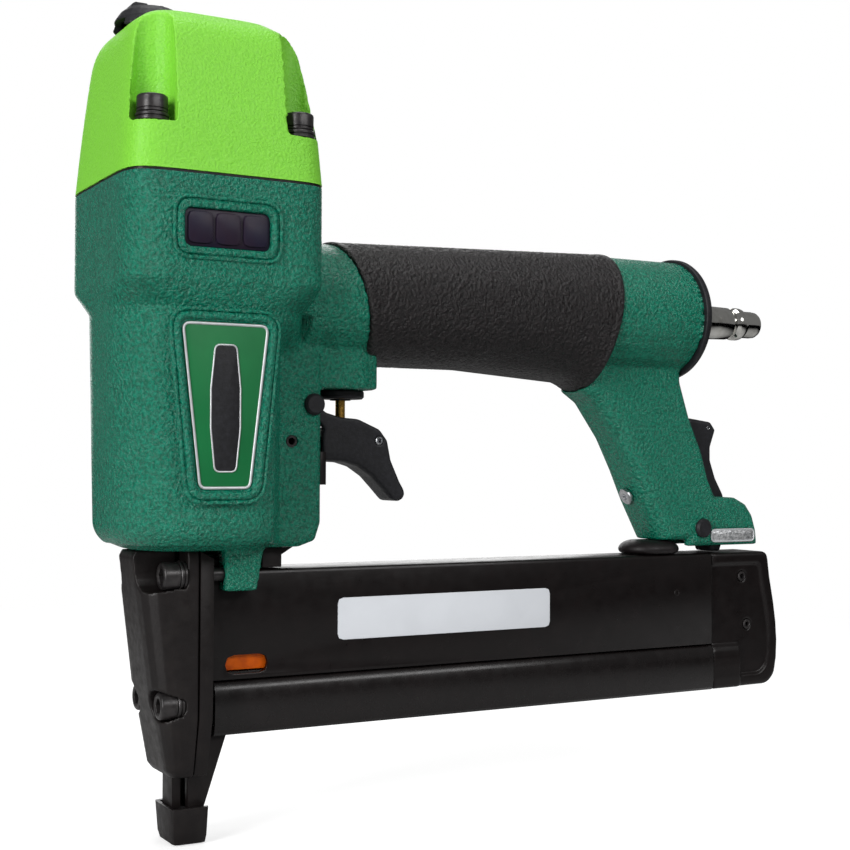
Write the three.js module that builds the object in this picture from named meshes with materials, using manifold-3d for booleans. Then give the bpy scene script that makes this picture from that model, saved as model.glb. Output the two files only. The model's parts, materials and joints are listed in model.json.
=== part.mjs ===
// Pneumatic fastener driver with a straight magazine, in millimetres: +Z up, nose to -X, near side -Y.
// The origin is under the contact foot, on the middle plane, just behind the driver blade.
import * as THREE from "three";
import { mergeVertices } from "three/addons/utils/BufferGeometryUtils.js";
import Module from "manifold-3d";

const wasm = await Module();
wasm.setup();

// Clearance of moving faces, of seated faces, and how far cutters reach past what they cut
const GAP = 0.3;
const SEAT = 0.1;
const OVERRUN = 3;
const WELD = 0.0002;

// Steps on round shapes
const CORNER_STEPS = 2;
const FINE_STEPS = 4;
const SKIN_POINTS = 22;
const COLLAR_POINTS = 48;
const BIG_SIDES = 24;
const MID_SIDES = 14;
const SMALL_SIDES = 10;
const HEX_SIDES = 6;

// Barrel and collar of the casting
const BODY_X = 1;
const BARREL_OVER_MAG = 6.4;
const BARREL_RADIUS = 28.6;
const BARREL_DRAFT = 0.8;
const BARREL_EDGE = 8;
const BARREL_WALL = 4;
const BARREL_POWER = 3;
const FOOT_POWER = 2.6;
const UNDERCUT = 7;
const COLLAR_HEIGHT = 28.7;
const COLLAR_ABOVE = 29;
const COLLAR_STEP_X = 1.1;
const COLLAR_STEP_Y = 2.2;
const COLLAR_POWER = 7.5;
const ROUND_POWER = 2;
const FLOOR_THICK = 11;

// Cap, gasket and cap screws
const GASKET_THICK = 0.6;
const CAP_HEIGHT = 48.6;
const CAP_HOLLOW_STEP = 1.8;
const CAP_HOLLOW_HEIGHT = 38;
const CHANNEL_RADIUS = 5.9;
const CHANNEL_UP = 13.8;
const CAP_SCREW_INSET_X = 7.9;
const CAP_SCREW_INSET_Y = 6.5;
const SCREW_RADIUS = 2.5;
const SCREW_HEAD_RADIUS = 4.25;
const SCREW_HEAD_HEIGHT = 5;
const SOCKET_RADIUS = 2.3;
const SOCKET_DEPTH = 2.6;
const CAP_SCREW_LENGTH = 24;
const WASHER_RADIUS = 4.6;
const WASHER_THICK = 2.2;

// Exhaust deflector on the cap
const DEFLECTOR_INSET = 15.4;
const DEFLECTOR_RADIUS = 10.9;
const DEFLECTOR_SINK = 4;
const DEFLECTOR_HEIGHT = 7.8;
const WING_HALF = 3;
const DEFLECTOR_CHAMBER = 4.2;
const DEFLECTOR_RIM = 2.6;
const DEFLECTOR_MOUTH = 5;
const FLUTES = 10;
const FLUTE_RADIUS = 1.1;
const PORT_RADIUS = 6.2;
const POST_RADIUS = 2.7;
const POST_RIB = 1.6;
const POST_SCREW_RADIUS = 1.5;
const POST_SCREW_HEAD_RADIUS = 3.2;
const POST_SCREW_HEAD = 1;
const POST_SCREW_SOCKET = 0.8;
const POST_SCREW_LENGTH = 13;

// Window on the collar
const SIDE_X = -0.9;
const WINDOW_DOWN = 14.6;
const WINDOW_LENGTH = 25;
const WINDOW_HEIGHT = 10.4;
const WINDOW_FRAME = 2.3;
const WINDOW_CORNER = 1.6;
const WINDOW_DEPTH = 2;
const WINDOW_PROUD = 0.6;
const PANES = 3;
const PANE_BORDER = 0.9;
const PANE_THICK = 0.7;

// Badge on the barrel
const BADGE_UP = 17.2;
const BADGE_HEIGHT = 46;
const BADGE_TOP_LENGTH = 26;
const BADGE_BOTTOM_LENGTH = 15.6;
const BADGE_CORNER = 2.4;
const BADGE_FRAME = 2.4;
const BADGE_PROUD = 1;
const BADGE_RECESS = 1.4;
const BADGE_THICK = 1;

// Web behind the barrel and the valve arm
const WEB_REAR_BEHIND = 6.7;
const WEB_HALF = 13;
const WEB_CORNER = 7;
const WEB_ROUND = 1.6;
const ARM_UP = 47;
const ARM_HEIGHT = 18;
const ARM_REAR_BEHIND = 27.8;
const ARM_HALF = 12;
const ARM_CORNER = 7;
const TRIGGER_SLOT_HALF = 6.4;
const TRIGGER_SLOT_DOWN = 12;
const STOP_PIN_BEHIND = -3.5;
const STOP_PIN_DOWN = 16;
const STOP_PIN_RADIUS = 1.8;
const STOP_PIN_BORE = 0.9;
const STOP_PIN_LENGTH = 3.8;

// Handle and grip
const HANDLE_OVER_ARM = 9.2;
const HANDLE_START = 20;
const HANDLE_END_SHARE = 0.5395;
const HANDLE_HALF = 21.6;
const HANDLE_UP_FRONT = 18.2;
const HANDLE_UP_REAR = 21.9;
const HANDLE_DOWN = 19.8;
const FLARE_START = 113;
const FLARE_END = 137;
const FLARE_DEPTH = 6.6;
const GRIP_WALL = 3;
const GRIP_LIP = 1;
const GRIP_FRONT = 41.2;
const GRIP_FRONT_LEAN = 13.5;
const GRIP_REAR = 145;
const GRIP_REAR_LEAN = 9.5;
const GRIP_LEAN_HEIGHT = 50;
const AIR_RADIUS = 13;

// End cap of the handle and the air plug
const DISC_HALF_WIDTH = 22.2;
const DISC_HALF_HEIGHT = 21;
const DISC_RISE = 1;
const DISC_THICK = 3;
const DISC_ROUND = 1;
const SPIGOT_LENGTH = 9;
const PLUG_BORE = 2.5;
const PLUG_THREAD_RADIUS = 5;
const PLUG_THREAD_LENGTH = 8;
const PLUG_HEX_RADIUS = 8;
const PLUG_HEX_LENGTH = 11.6;
const PLUG_RADIUS = 6.4;
const PLUG_LENGTH = 37.1;

// Strut between handle and magazine, its screw and plate, and the pad under it
const STRUT_FRONT = 134;
const STRUT_LENGTH = 76;
const STRUT_CLEAR = 2.6;
const STRUT_SINK = 8.2;
const STRUT_HALF = 9;
const STRUT_ROUND = 1.5;
const STRUT_FRONT_ROUND = 5;
const STRUT_SCREW_SHARE = 0.3171;
const STRUT_SCREW_UP = 17.5;
const STRUT_SCREW_RADIUS = 2;
const STRUT_SCREW_HEAD_RADIUS = 3;
const STRUT_SCREW_HEAD = 1.3;
const STRUT_SCREW_SOCKET_RADIUS = 1;
const STRUT_SCREW_SOCKET = 0.8;
const STRUT_SCREW_LENGTH = 8;
const STRUT_SCREW_TILT_DEG = 62.6;
const PLATE_FRONT_SHARE = 0.7053;
const PLATE_REAR_SHARE = 0.9684;
const PLATE_UP = 1.1;
const PLATE_HEIGHT = 4.8;
const PLATE_THICK = 0.9;
const PAD_REAR_SHARE = 0.5803;
const PAD_LENGTH = 21.5;
const PAD_HALF = 9.3;
const PAD_CLEAR = 0.17;
const STRUT_STEP_SHARE = 0.034;
const PAD_ROUND = 0.8;

// Trigger, its pin, the lever inside it and the valve
const TRIGGER_PIVOT_BEHIND = 3.7;
const TRIGGER_PIVOT_DOWN = 5;
const TRIGGER_FRONT_BEHIND = 0.5;
const TRIGGER_LENGTH = 38.4;
const TRIGGER_DOWN = 34.5;
const TRIGGER_HEIGHT = 32.7;
const TRIGGER_HALF = 6;
const TRIGGER_CHEEK = 1.6;
const TRIGGER_ROUND = 0.5;
const TRIGGER_LOW_ROUND = 2.2;
const TRIGGER_PIN_RADIUS = 2;
const TRIGGER_PIN_HEAD = 3.9;
const RIVET_BEHIND = 29.2;
const RIVET_DOWN = 15.4;
const RIVET_RADIUS = 1.3;
const LEVER_FRONT_BEHIND = 8;
const LEVER_LENGTH = 23.3;
const LEVER_DOWN = 18.1;
const LEVER_HEIGHT = 7.1;
const LEVER_HALF = 3.6;
const VALVE_BEHIND = 18.6;
const FLANGE_RADIUS = 7.3;
const FLANGE_THICK = 3;
const VALVE_RADIUS = 5;
const VALVE_UP = 17;
const CHAMBER_RADIUS = 3.2;
const CHAMBER_UP = 3.8;
const CHAMBER_HEIGHT = 11.2;
const CHAMBER_PORT = 1;
const STEM_RADIUS = 1.5;
const STEM_DOWN = 9.4;
const STEM_HEAD_RADIUS = 2.8;
const STEM_HEAD = 2;
const VALVE_SPRING_RADIUS = 2.6;
const VALVE_SPRING_WIRE = 0.9;
const CLIP_WIDTH = 1.7;
const CLIP_THICK = 1;
const PIN_HEAD_THICK = 1.5;

// Nose: front plate, guide plate and screws
const NOSE_BOTTOM = 19.6;
const NOSE_REACH = 19.5;
const NOSE_BACK = 2.5;
const NOSE_TIP_HALF = 13;
const NOSE_BACK_HALF = 14.8;
const NOSE_CORNER = 8.5;
const HIGH_SCREW_Y = 11.1;
const HIGH_SCREW_DOWN = 0.8;
const HIGH_SCREW_LENGTH = 17;
const LOW_SCREW_Y = 9.6;
const LOW_SCREW_Z = 40.3;
const LOW_SCREW_LENGTH = 8.4;
const NOSE_SCREW_SEAT = 5.9;
const NOSE_SCREW_RADIUS = 2;
const NOSE_WASHER_RADIUS = 4.1;
const NOSE_WASHER = 1.9;
const NOSE_HEAD_RADIUS = 3.9;
const NOSE_HEAD = 5;
const POCKET_RADIUS = 4.6;
const GUIDE_FRONT = 2.2;
const GUIDE_REAR = 1.7;
const GUIDE_UP = 2.2;
const GUIDE_SHOULDER = 19.9;
const GUIDE_BOTTOM = 8.5;
const GUSSET_TOP = 29.8;
const GUSSET_REAR = 9.2;
const GUSSET_TIP = 2.1;
const GUSSET_HALF = 5.7;
const RACEWAY_DEPTH = 2;
const RACEWAY_HALF = 3.05;
const FEED_HALF = 3.4;
const FEED_LOW = 33;
const FEED_DOWN = 2.6;

// Driver, piston, cylinder, bumper and head valve
const DRIVER_X = -1.2;
const DRIVER_THICK = 1.3;
const DRIVER_HALF = 2.75;
const DRIVER_TIP = 77;
const DRIVER_DOWN = 3.2;
const DRIVER_HOLE_LENGTH = 3.6;
const DRIVER_HOLE_HALF = 3.5;
const SLEEVE_SPACE = 2.6;
const SLEEVE_WALL = 2;
const SLEEVE_UP = 8.3;
const SLEEVE_FLANGE = 5;
const PISTON_DOWN = 6.2;
const PISTON_HEIGHT = 11;
const PISTON_PLAY = 0.4;
const PISTON_RIM = 5.6;
const PISTON_CUP_DEPTH = 6;
const RING_DOWN = 2.2;
const RING_HEIGHT = 3;
const RING_DEPTH = 2.2;
const BUMPER_HEIGHT = 12;
const BUMPER_PLAY = 0.6;
const BUMPER_WAIST = 1.6;
const BUMPER_HOLE = 5.5;
const HEAD_VALVE_HEIGHT = 10;
const HEAD_VALVE_PLAY = 0.5;
const HEAD_VALVE_HOLE = 6;
const HEAD_SPRING_RADIUS = 14;
const HEAD_SPRING_WIRE = 2.2;

// Contact foot, safety link and its spring
const SAFETY_TRAVEL = 6;
const FOOT_FRONT = 7.8;
const FOOT_REAR = 3.6;
const FOOT_HALF = 8;
const FOOT_HEIGHT = 10.3;
const FOOT_TAPER = 1.1;
const FOOT_WALL = 1.2;
const FOOT_FLOOR = 2.2;
const FOOT_CORNER = 1.6;
const FOOT_SLOT_HALF = 3.3;
const FOOT_SLOT_LENGTH = 2;
const FOOT_SLOT_FRONT = 2.4;
const STEM_PLATE_FRONT = 6.5;
const STEM_PLATE_THICK = 2.6;
const STEM_PLATE_HALF = 4;
const LINK_CLEAR = 0.4;
const LINK_THICK = 2.5;
const LINK_ARM_INNER = 4.1;
const LINK_ARM_OUTER = 6.4;
const YOKE_FRONT = 19.6;
const YOKE_REAR = 25.6;
const YOKE_HALF = 7.4;
const YOKE_HEIGHT = 5.6;
const SPINE_FRONT_BEHIND = 0.5;
const SPINE_REAR_BEHIND = 6.2;
const SPINE_HALF = 1.75;
const TAB_FRONT_BEHIND = 7.1;
const TAB_THICK = 3.3;
const TAB_HALF = 10.3;
const TAB_DOWN = 31;
const TAB_HEIGHT = 12;
const LINK_SPRING_X = 22.3;
const LINK_SPRING_RADIUS = 2.6;
const LINK_SPRING_WIRE = 1;
const LINK_SPRING_UP = 8.7;

// Magazine cover, ears of the casting, rail and pusher
const MAG_FRONT = 2.3;
const MAG_REAR = 188.5;
const MAG_TOP = 77.6;
const MAG_LOW = 46;
const MAG_HALF = 8.5;
const MAG_CORNER = 1.4;
const CAVITY_HALF = 6.9;
const COVER_ROOF = 2;
const EAR_FRONT = 5.4;
const EAR_REAR = 18.5;
const EAR_REAR_LOW = 15;
const EAR_DOWN = 5.6;
const EAR_HALF = 14.6;
const VIEW_FRONT = 7.8;
const VIEW_LENGTH = 13.2;
const VIEW_LOW = 47.6;
const VIEW_HEIGHT = 5.4;
const RAIL_FRONT = 4.4;
const RAIL_LOW = 30.2;
const RAIL_HALF = 9.4;
const RAIL_TOP = 48;
const BLADE_HALF = 2.2;
const BLADE_DOWN = 2.2;
const BLADE_REAR = 208;
const PUSHER_FRONT = 4.8;
const PUSHER_LENGTH = 24;
const PUSHER_HALF = 6.5;
const PUSHER_LOW = 48.4;
const PUSHER_DOWN = 0.4;
const SPRING_RADIUS = 1.9;
const SPRING_Y = 4.5;
const SPRING_Z = 61;

// End cap of the magazine, its pins and the bare label
const END_FRONT = 188.9;
const END_LENGTH = 30.1;
const END_BULGE = 12;
const END_ROUND = 1.2;
const END_RECESS = 0.9;
const END_RIM = 4;
const END_PIN_RADIUS = 1.7;
const HIGH_PIN_X = 202.9;
const HIGH_PIN_DOWN = 8.6;
const LOW_PIN_X = 205.2;
const LOW_PIN_Z = 52;
const LABEL_FRONT = 43.5;
const LABEL_LENGTH = 76.5;
const LABEL_LOW = 55.6;
const LABEL_HEIGHT = 12.6;
const LABEL_THICK = 0.5;
const LABEL_CORNER = 1.8;

// Magazine latch
const LATCH_PIVOT_SHARE = 0.6579;
const LATCH_PIVOT_UP = 6.2;
const LATCH_FRONT_AHEAD = 4.2;
const LATCH_SLOT_AHEAD = 50;
const LATCH_SLOT_LENGTH = 76;
const LATCH_LENGTH = 18.7;
const LATCH_CLEAR = 0.35;
const LATCH_HEIGHT = 47;
const LATCH_HALF = 5;
const LATCH_ROUND = 0.8;
const LATCH_PIN_RADIUS = 1.8;
const LATCH_PIN_HEAD = 3.3;
const LATCH_SPRING_RADIUS = 3.2;
const LATCH_SPRING_HALF = 2.4;

// Finishes as colour, roughness, metalness
const FINISH = {
  casting: [0x0a6a52, 0.5, 0.3],
  lime: [0x86dc45, 0.45, 0],
  rubber: [0x1d1a1d, 0.85, 0],
  plastic: [0x16161a, 0.5, 0],
  blackSteel: [0x201f21, 0.4, 0.8],
  anodised: [0x17130f, 0.35, 0.7],
  screw: [0x333338, 0.35, 0.9],
  steel: [0xb9bcc0, 0.25, 1],
  brass: [0xc79a3c, 0.3, 1],
  window: [0x1b1630, 0.15, 0],
  badge: [0x1d7a4a, 0.25, 0],
  label: [0xd9dde3, 0.5, 0],
  orange: [0xd9680c, 0.5, 0],
  amber: [0xb88a3a, 0.6, 0],
};

const tool = new THREE.Group();
const V = THREE.Vector3;
const SIDES = [-1, 1];
const NEAR = SIDES[0];

// Frames that lay a flat outline in the plane across an axis and extrude it along that axis
const FACING = {
  x: new THREE.Matrix4().makeBasis(new V(0, 1, 0), new V(0, 0, 1), new V(1, 0, 0)),
  y: new THREE.Matrix4().makeBasis(new V(1, 0, 0), new V(0, 0, 1), new V(0, -1, 0)),
  z: new THREE.Matrix4(),
};

// A closed geometry as a solid with its faces turned outwards
function toSolid(geometry) {
  const bare = geometry.clone();
  bare.deleteAttribute("normal");
  bare.deleteAttribute("uv");
  const merged = mergeVertices(bare, WELD);
  const index = merged.index.array;
  const kept = [];
  for (let i = 0; i < index.length; i += 3) {
    const [a, b, c] = [index[i], index[i + 1], index[i + 2]];
    if (a !== b && b !== c && c !== a) kept.push(a, b, c);
  }
  const triVerts = new Uint32Array(kept);
  const vertProperties = merged.attributes.position.array;
  const first = new wasm.Manifold(new wasm.Mesh({ numProp: 3, vertProperties, triVerts }));
  if (first.volume() > 0) return first;
  triVerts.reverse();
  return new wasm.Manifold(new wasm.Mesh({ numProp: 3, vertProperties, triVerts }));
}

function join(first, ...others) {
  return others.reduce((body, other) => body.add(other), first);
}

function cut(body, ...tools) {
  return tools.reduce((rest, one) => rest.subtract(one), body);
}

// Adds a solid to the tool as one named mesh
function piece(name, solid, finish) {
  const found = solid.getMesh();
  const geometry = new THREE.BufferGeometry();
  geometry.setAttribute("position", new THREE.BufferAttribute(found.vertProperties, 3));
  geometry.setIndex(new THREE.BufferAttribute(found.triVerts, 1));
  const [color, roughness, metalness] = FINISH[finish];
  const mesh = new THREE.Mesh(geometry, new THREE.MeshStandardMaterial({ color, roughness, metalness }));
  mesh.name = name;
  tool.add(mesh);
}

// A closed outline of points [u, v, radius], where a radius rounds that corner
function outline(points) {
  const shape = new THREE.Shape();
  const at = points.map(([u, v]) => new THREE.Vector2(u, v));
  at.forEach((corner, i) => {
    const radius = points[i][2] || 0;
    const back = at[(i + at.length - 1) % at.length].clone().sub(corner);
    const ahead = at[(i + 1) % at.length].clone().sub(corner);
    const half = back.angleTo(ahead) / 2;
    const reach = Math.min(radius / Math.tan(half), back.length() / 2, ahead.length() / 2);
    const start = corner.clone().addScaledVector(back.normalize(), reach);
    const end = corner.clone().addScaledVector(ahead.normalize(), reach);
    if (i === 0) shape.moveTo(start.x, start.y);
    else shape.lineTo(start.x, start.y);
    if (reach > 0) shape.quadraticCurveTo(corner.x, corner.y, end.x, end.y);
  });
  shape.closePath();
  return shape;
}

// An outline whose points are shares of a box with its corner at u, v
function framed([u, v, length, height], shares) {
  return outline(shares.map(([a, b, r]) => [u + a * length, v + b * height, (r || 0) * height]));
}

function rounded([left, right], [low, high], radius) {
  return outline([
    [left, low, radius],
    [right, low, radius],
    [right, high, radius],
    [left, high, radius],
  ]);
}

// A prism across an axis from low to high, its rims rounded by `round`
function prism(axis, shape, low, high, round = 0, steps = CORNER_STEPS) {
  const geometry = new THREE.ExtrudeGeometry(shape, {
    depth: high - low - 2 * round,
    curveSegments: steps,
    bevelEnabled: round > 0,
    bevelThickness: round,
    bevelSize: round,
    bevelOffset: -round,
    bevelSegments: steps - 1,
  });
  geometry.translate(0, 0, (axis === "y" ? -high : low) + round);
  return toSolid(geometry.applyMatrix4(FACING[axis]));
}

// A prism across Y on one side (-1 or 1) of the middle plane
function sidePrism(side, shape, inner, outer, round = 0) {
  const [low, high] = side < 0 ? [-outer, -inner] : [inner, outer];
  return prism("y", shape, low, high, round);
}

// A prism across Y reaching equally far to both sides of the middle plane
function midPrism(shape, half, round = 0, steps = CORNER_STEPS) {
  return prism("y", shape, -half, half, round, steps);
}

function block([x0, x1], [y0, y1], [z0, z1]) {
  const box = new THREE.BoxGeometry(x1 - x0, Math.abs(y1 - y0), z1 - z0);
  return toSolid(box.translate((x0 + x1) / 2, (y0 + y1) / 2, (z0 + z1) / 2));
}

function midBlock(x, half, z) {
  return block(x, [-half, half], z);
}

// Lays a geometry made along Y along another axis, at the point [u, v] of the plane across it
function laid(geometry, axis, [u, v]) {
  if (axis === "z") return toSolid(geometry.rotateX(Math.PI / 2).translate(u, v, 0));
  if (axis === "x") return toSolid(geometry.rotateZ(-Math.PI / 2).translate(0, u, v));
  return toSolid(geometry.translate(u, 0, v));
}

function rod(axis, at, radius, low, high, sides = MID_SIDES) {
  const geometry = new THREE.CylinderGeometry(radius, radius, high - low, sides);
  return laid(geometry.translate(0, (low + high) / 2, 0), axis, at);
}

// A rod across Y through the whole width 2 * half, and a little past it
function crossBore(at, radius, half) {
  return rod("y", at, radius, -half - OVERRUN, half + OVERRUN, SMALL_SIDES);
}

// A turned solid from profile points [radius, place along the axis]
function turned(axis, at, profile, sides = MID_SIDES) {
  const points = profile.map(([radius, place]) => new THREE.Vector2(radius, place));
  return laid(new THREE.LatheGeometry(points, sides), axis, at);
}

function tube(axis, at, inner, outer, low, high, sides = MID_SIDES) {
  const profile = [
    [inner, low],
    [outer, low],
    [outer, high],
    [inner, high],
    [inner, low],
  ];
  return turned(axis, at, profile, sides);
}

// A skin through rings of equally many points, closed at both ends
function loft(rings) {
  const count = rings[0].length;
  const middles = [rings[0], rings.at(-1)].map((ring) =>
    ring.reduce((sum, point) => sum.add(point), new V()).divideScalar(count),
  );
  const points = [...rings.flat(), ...middles];
  const last = (rings.length - 1) * count;
  const index = [];
  for (let i = 0; i < count; i++) {
    const next = (i + 1) % count;
    for (let start = 0; start < last; start += count) {
      index.push(start + i, start + next, start + count + i);
      index.push(start + next, start + count + next, start + count + i);
    }
    index.push(next, i, points.length - 2);
    index.push(last + i, last + next, points.length - 1);
  }
  const geometry = new THREE.BufferGeometry().setFromPoints(points);
  geometry.setIndex(index);
  return toSolid(geometry);
}

// Points round an outline: power 2 is an ellipse, higher powers are squarer
function squircle(count, halfU, halfV, power) {
  return Array.from({ length: count }, (_, i) => {
    const c = Math.cos((2 * Math.PI * i) / count);
    const s = Math.sin((2 * Math.PI * i) / count);
    const share = 2 / power;
    return [halfU * Math.sign(c) * Math.abs(c) ** share, halfV * Math.sign(s) * Math.abs(s) ** share];
  });
}

function bodyRing(z, halfX, halfY, power, lean = 0) {
  return squircle(COLLAR_POINTS, halfX, halfY, power).map(([x, y]) => new V(BODY_X + x - lean, y, z));
}

// A flat outline as a ring of points at height z
function outlineRing(z, shape, steps = CORNER_STEPS) {
  const points = shape.getPoints(steps).map((p) => new V(p.x, p.y, z));
  if (points[0].distanceTo(points.at(-1)) < WELD) points.pop();
  return points;
}

// Places shared by several pieces
const barrelBottom = MAG_TOP + BARREL_OVER_MAG;
const noseTop = barrelBottom - GAP;
const highScrewZ = MAG_TOP - HIGH_SCREW_DOWN;
const guideTop = MAG_TOP + GUIDE_UP;
const feedHigh = MAG_TOP - FEED_DOWN;
const linkLow = MAG_TOP + LINK_CLEAR;
const cavityTop = MAG_TOP - COVER_ROOF;
const earLow = MAG_TOP - EAR_DOWN;
const bladeTop = cavityTop - BLADE_DOWN;
const pusherTop = cavityTop - PUSHER_DOWN;
const highPinZ = MAG_TOP - HIGH_PIN_DOWN;
const floorTop = barrelBottom + FLOOR_THICK;
const linkSpringTop = barrelBottom + LINK_SPRING_UP;
const badgeLowZ = barrelBottom + BADGE_UP;
const badgeTopZ = badgeLowZ + BADGE_HEIGHT;
const armBottom = barrelBottom + ARM_UP;
const armTop = armBottom + ARM_HEIGHT;
const handleZ = armTop + HANDLE_OVER_ARM;
const triggerSlotBottom = armBottom - TRIGGER_SLOT_DOWN;
const stopPinZ = armBottom - STOP_PIN_DOWN;
const triggerPivotZ = armBottom - TRIGGER_PIVOT_DOWN;
const triggerLow = armBottom - TRIGGER_DOWN;
const rivetZ = armBottom - RIVET_DOWN;
const leverLow = armBottom - LEVER_DOWN;
const valveTop = armBottom + VALVE_UP;
const chamberBottom = armBottom + CHAMBER_UP;
const chamberTop = chamberBottom + CHAMBER_HEIGHT;
const stemBottom = armBottom - STEM_DOWN;
const tabLow = armBottom - TAB_DOWN;
const tabHigh = tabLow + TAB_HEIGHT;
const barrelRear = BODY_X + BARREL_RADIUS;
const boreRadius = BARREL_RADIUS - BARREL_WALL;
const sleeveRadius = boreRadius - SLEEVE_SPACE;
const sleeveBore = sleeveRadius - SLEEVE_WALL;
const pistonRadius = sleeveBore - PISTON_PLAY;
const bumperRadius = sleeveBore - BUMPER_PLAY;
const capHollowRadius = boreRadius - CAP_HOLLOW_STEP;
const headValveRadius = capHollowRadius - HEAD_VALVE_PLAY;
const badgeFaceY = BARREL_RADIUS + BADGE_PROUD;
const collarHalfX = BARREL_RADIUS + COLLAR_STEP_X;
const collarHalfY = BARREL_RADIUS + COLLAR_STEP_Y;
const deflectorX = BODY_X - collarHalfX + DEFLECTOR_INSET;
const webRear = barrelRear + WEB_REAR_BEHIND;
const armRear = barrelRear + ARM_REAR_BEHIND;
const stopPinX = barrelRear + STOP_PIN_BEHIND;
const triggerPivotX = barrelRear + TRIGGER_PIVOT_BEHIND;
const triggerFront = barrelRear + TRIGGER_FRONT_BEHIND;
const rivetX = barrelRear + RIVET_BEHIND;
const leverFront = barrelRear + LEVER_FRONT_BEHIND;
const valveX = barrelRear + VALVE_BEHIND;
const spineFront = barrelRear + SPINE_FRONT_BEHIND;
const spineRear = barrelRear + SPINE_REAR_BEHIND;
const tabFront = barrelRear + TAB_FRONT_BEHIND;
const collarTop = handleZ + COLLAR_ABOVE;
const collarBottom = collarTop - COLLAR_HEIGHT;
const undercutStart = collarBottom - UNDERCUT;
const windowZ = collarTop - WINDOW_DOWN;
const channelSeat = collarTop + CHANNEL_UP;
const sleeveTop = collarTop + SLEEVE_UP;
const driverTop = collarTop - DRIVER_DOWN;
const pistonBottom = collarTop - PISTON_DOWN;
const ringLow = collarTop - RING_DOWN;
const discZ = handleZ + DISC_RISE;
const capBottom = collarTop + GASKET_THICK + 2 * SEAT;
const capTop = capBottom + CAP_HEIGHT;
const capHollowTop = capBottom + CAP_HOLLOW_HEIGHT;
const deflectorBottom = capTop - DEFLECTOR_SINK;
const deflectorTop = deflectorBottom + DEFLECTOR_HEIGHT;
const postHeadSeat = deflectorTop - POST_SCREW_HEAD - GAP;
const bodyAxis = [BODY_X, 0];
const deflectorAxis = [deflectorX, 0];
const valveAxis = [valveX, 0];
const handleAxis = [0, handleZ];
const plugAxis = [0, discZ];
const triggerPivot = [triggerPivotX, triggerPivotZ];
const strutBottom = MAG_TOP + STRUT_CLEAR;
const strutHeight = handleZ - STRUT_SINK - strutBottom;
const padTop = strutBottom + STRUT_STEP_SHARE * strutHeight - PAD_CLEAR;
const plateLow = strutBottom + PLATE_UP;
const latchLow = MAG_TOP + LATCH_CLEAR;
const alongStrut = (share) => STRUT_FRONT + share * STRUT_LENGTH;
const handleEnd = alongStrut(HANDLE_END_SHARE);
const latchPivotX = alongStrut(LATCH_PIVOT_SHARE);
const latchPivot = [latchPivotX, strutBottom + LATCH_PIVOT_UP];
const stopPinAt = [stopPinX, stopPinZ];
const rivetAt = [rivetX, rivetZ];
const gripTop = handleZ + HANDLE_UP_REAR;
const gripLow = handleZ - HANDLE_DOWN - FLARE_DEPTH - OVERRUN;
const linkRise = SAFETY_TRAVEL + GAP;
const yokeTop = linkLow + YOKE_HEIGHT;
const capScrewPlaces = SIDES.flatMap((y) =>
  SIDES.map((x) => [BODY_X + x * (collarHalfX - CAP_SCREW_INSET_X), y * (collarHalfY - CAP_SCREW_INSET_Y)]),
);

// A socket head screw's profile: shank from -length to 0, head above, all raised by `lift`
function screwProfile([radius, length], [headRadius, head], [socketRadius, socketDepth], lift) {
  const profile = [
    [0, -length],
    [radius, -length],
    [radius, 0],
    [headRadius, 0],
    [headRadius, head],
    [socketRadius, head],
    [socketRadius, head - socketDepth],
    [0, head - socketDepth],
  ];
  return profile.map(([r, place]) => [r, place + lift]);
}

// Barrel with a rounded foot, widening under the corners of the squarish collar
function barrelSkin() {
  const footRadius = BARREL_RADIUS - BARREL_DRAFT;
  const rings = [];
  for (let i = 0; i <= CORNER_STEPS; i++) {
    const turn = ((i / CORNER_STEPS) * Math.PI) / 2;
    const radius = footRadius - BARREL_EDGE * (1 - Math.sin(turn));
    rings.push(bodyRing(barrelBottom + BARREL_EDGE * (1 - Math.cos(turn)), radius, radius, FOOT_POWER));
  }
  rings.push(bodyRing(undercutStart, BARREL_RADIUS, BARREL_RADIUS, BARREL_POWER));
  rings.push(bodyRing(collarBottom, collarHalfX, collarHalfY, COLLAR_POWER));
  rings.push(bodyRing(collarTop, collarHalfX, collarHalfY, COLLAR_POWER));
  return loft(rings);
}

const straightShares = [0, 0.142, 0.806, 1];
const flaredShares = [0, 0.142, 0.58, 0.64, 0.7, 0.755, 0.806, 1];

// Skin of the hand tube, shrunk by `inset`, with or without the flare under its rear end
function handleSkin(inset, flared) {
  const rings = (flared ? flaredShares : straightShares).map((share) => {
    const x = HANDLE_START + share * (handleEnd - HANDLE_START);
    const rise = THREE.MathUtils.clamp((x - GRIP_FRONT) / (GRIP_REAR - GRIP_FRONT), 0, 1);
    const past = THREE.MathUtils.clamp((x - FLARE_START) / (FLARE_END - FLARE_START), 0, 1);
    const up = HANDLE_UP_FRONT + (HANDLE_UP_REAR - HANDLE_UP_FRONT) * rise - inset;
    const down = HANDLE_DOWN + (flared ? FLARE_DEPTH * past * past : 0) - inset;
    const round = squircle(SKIN_POINTS, HANDLE_HALF - inset, 1, ROUND_POWER);
    return round.map(([y, z]) => new V(x, y, handleZ + z * (z > 0 ? up : down)));
  });
  return loft(rings);
}

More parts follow.
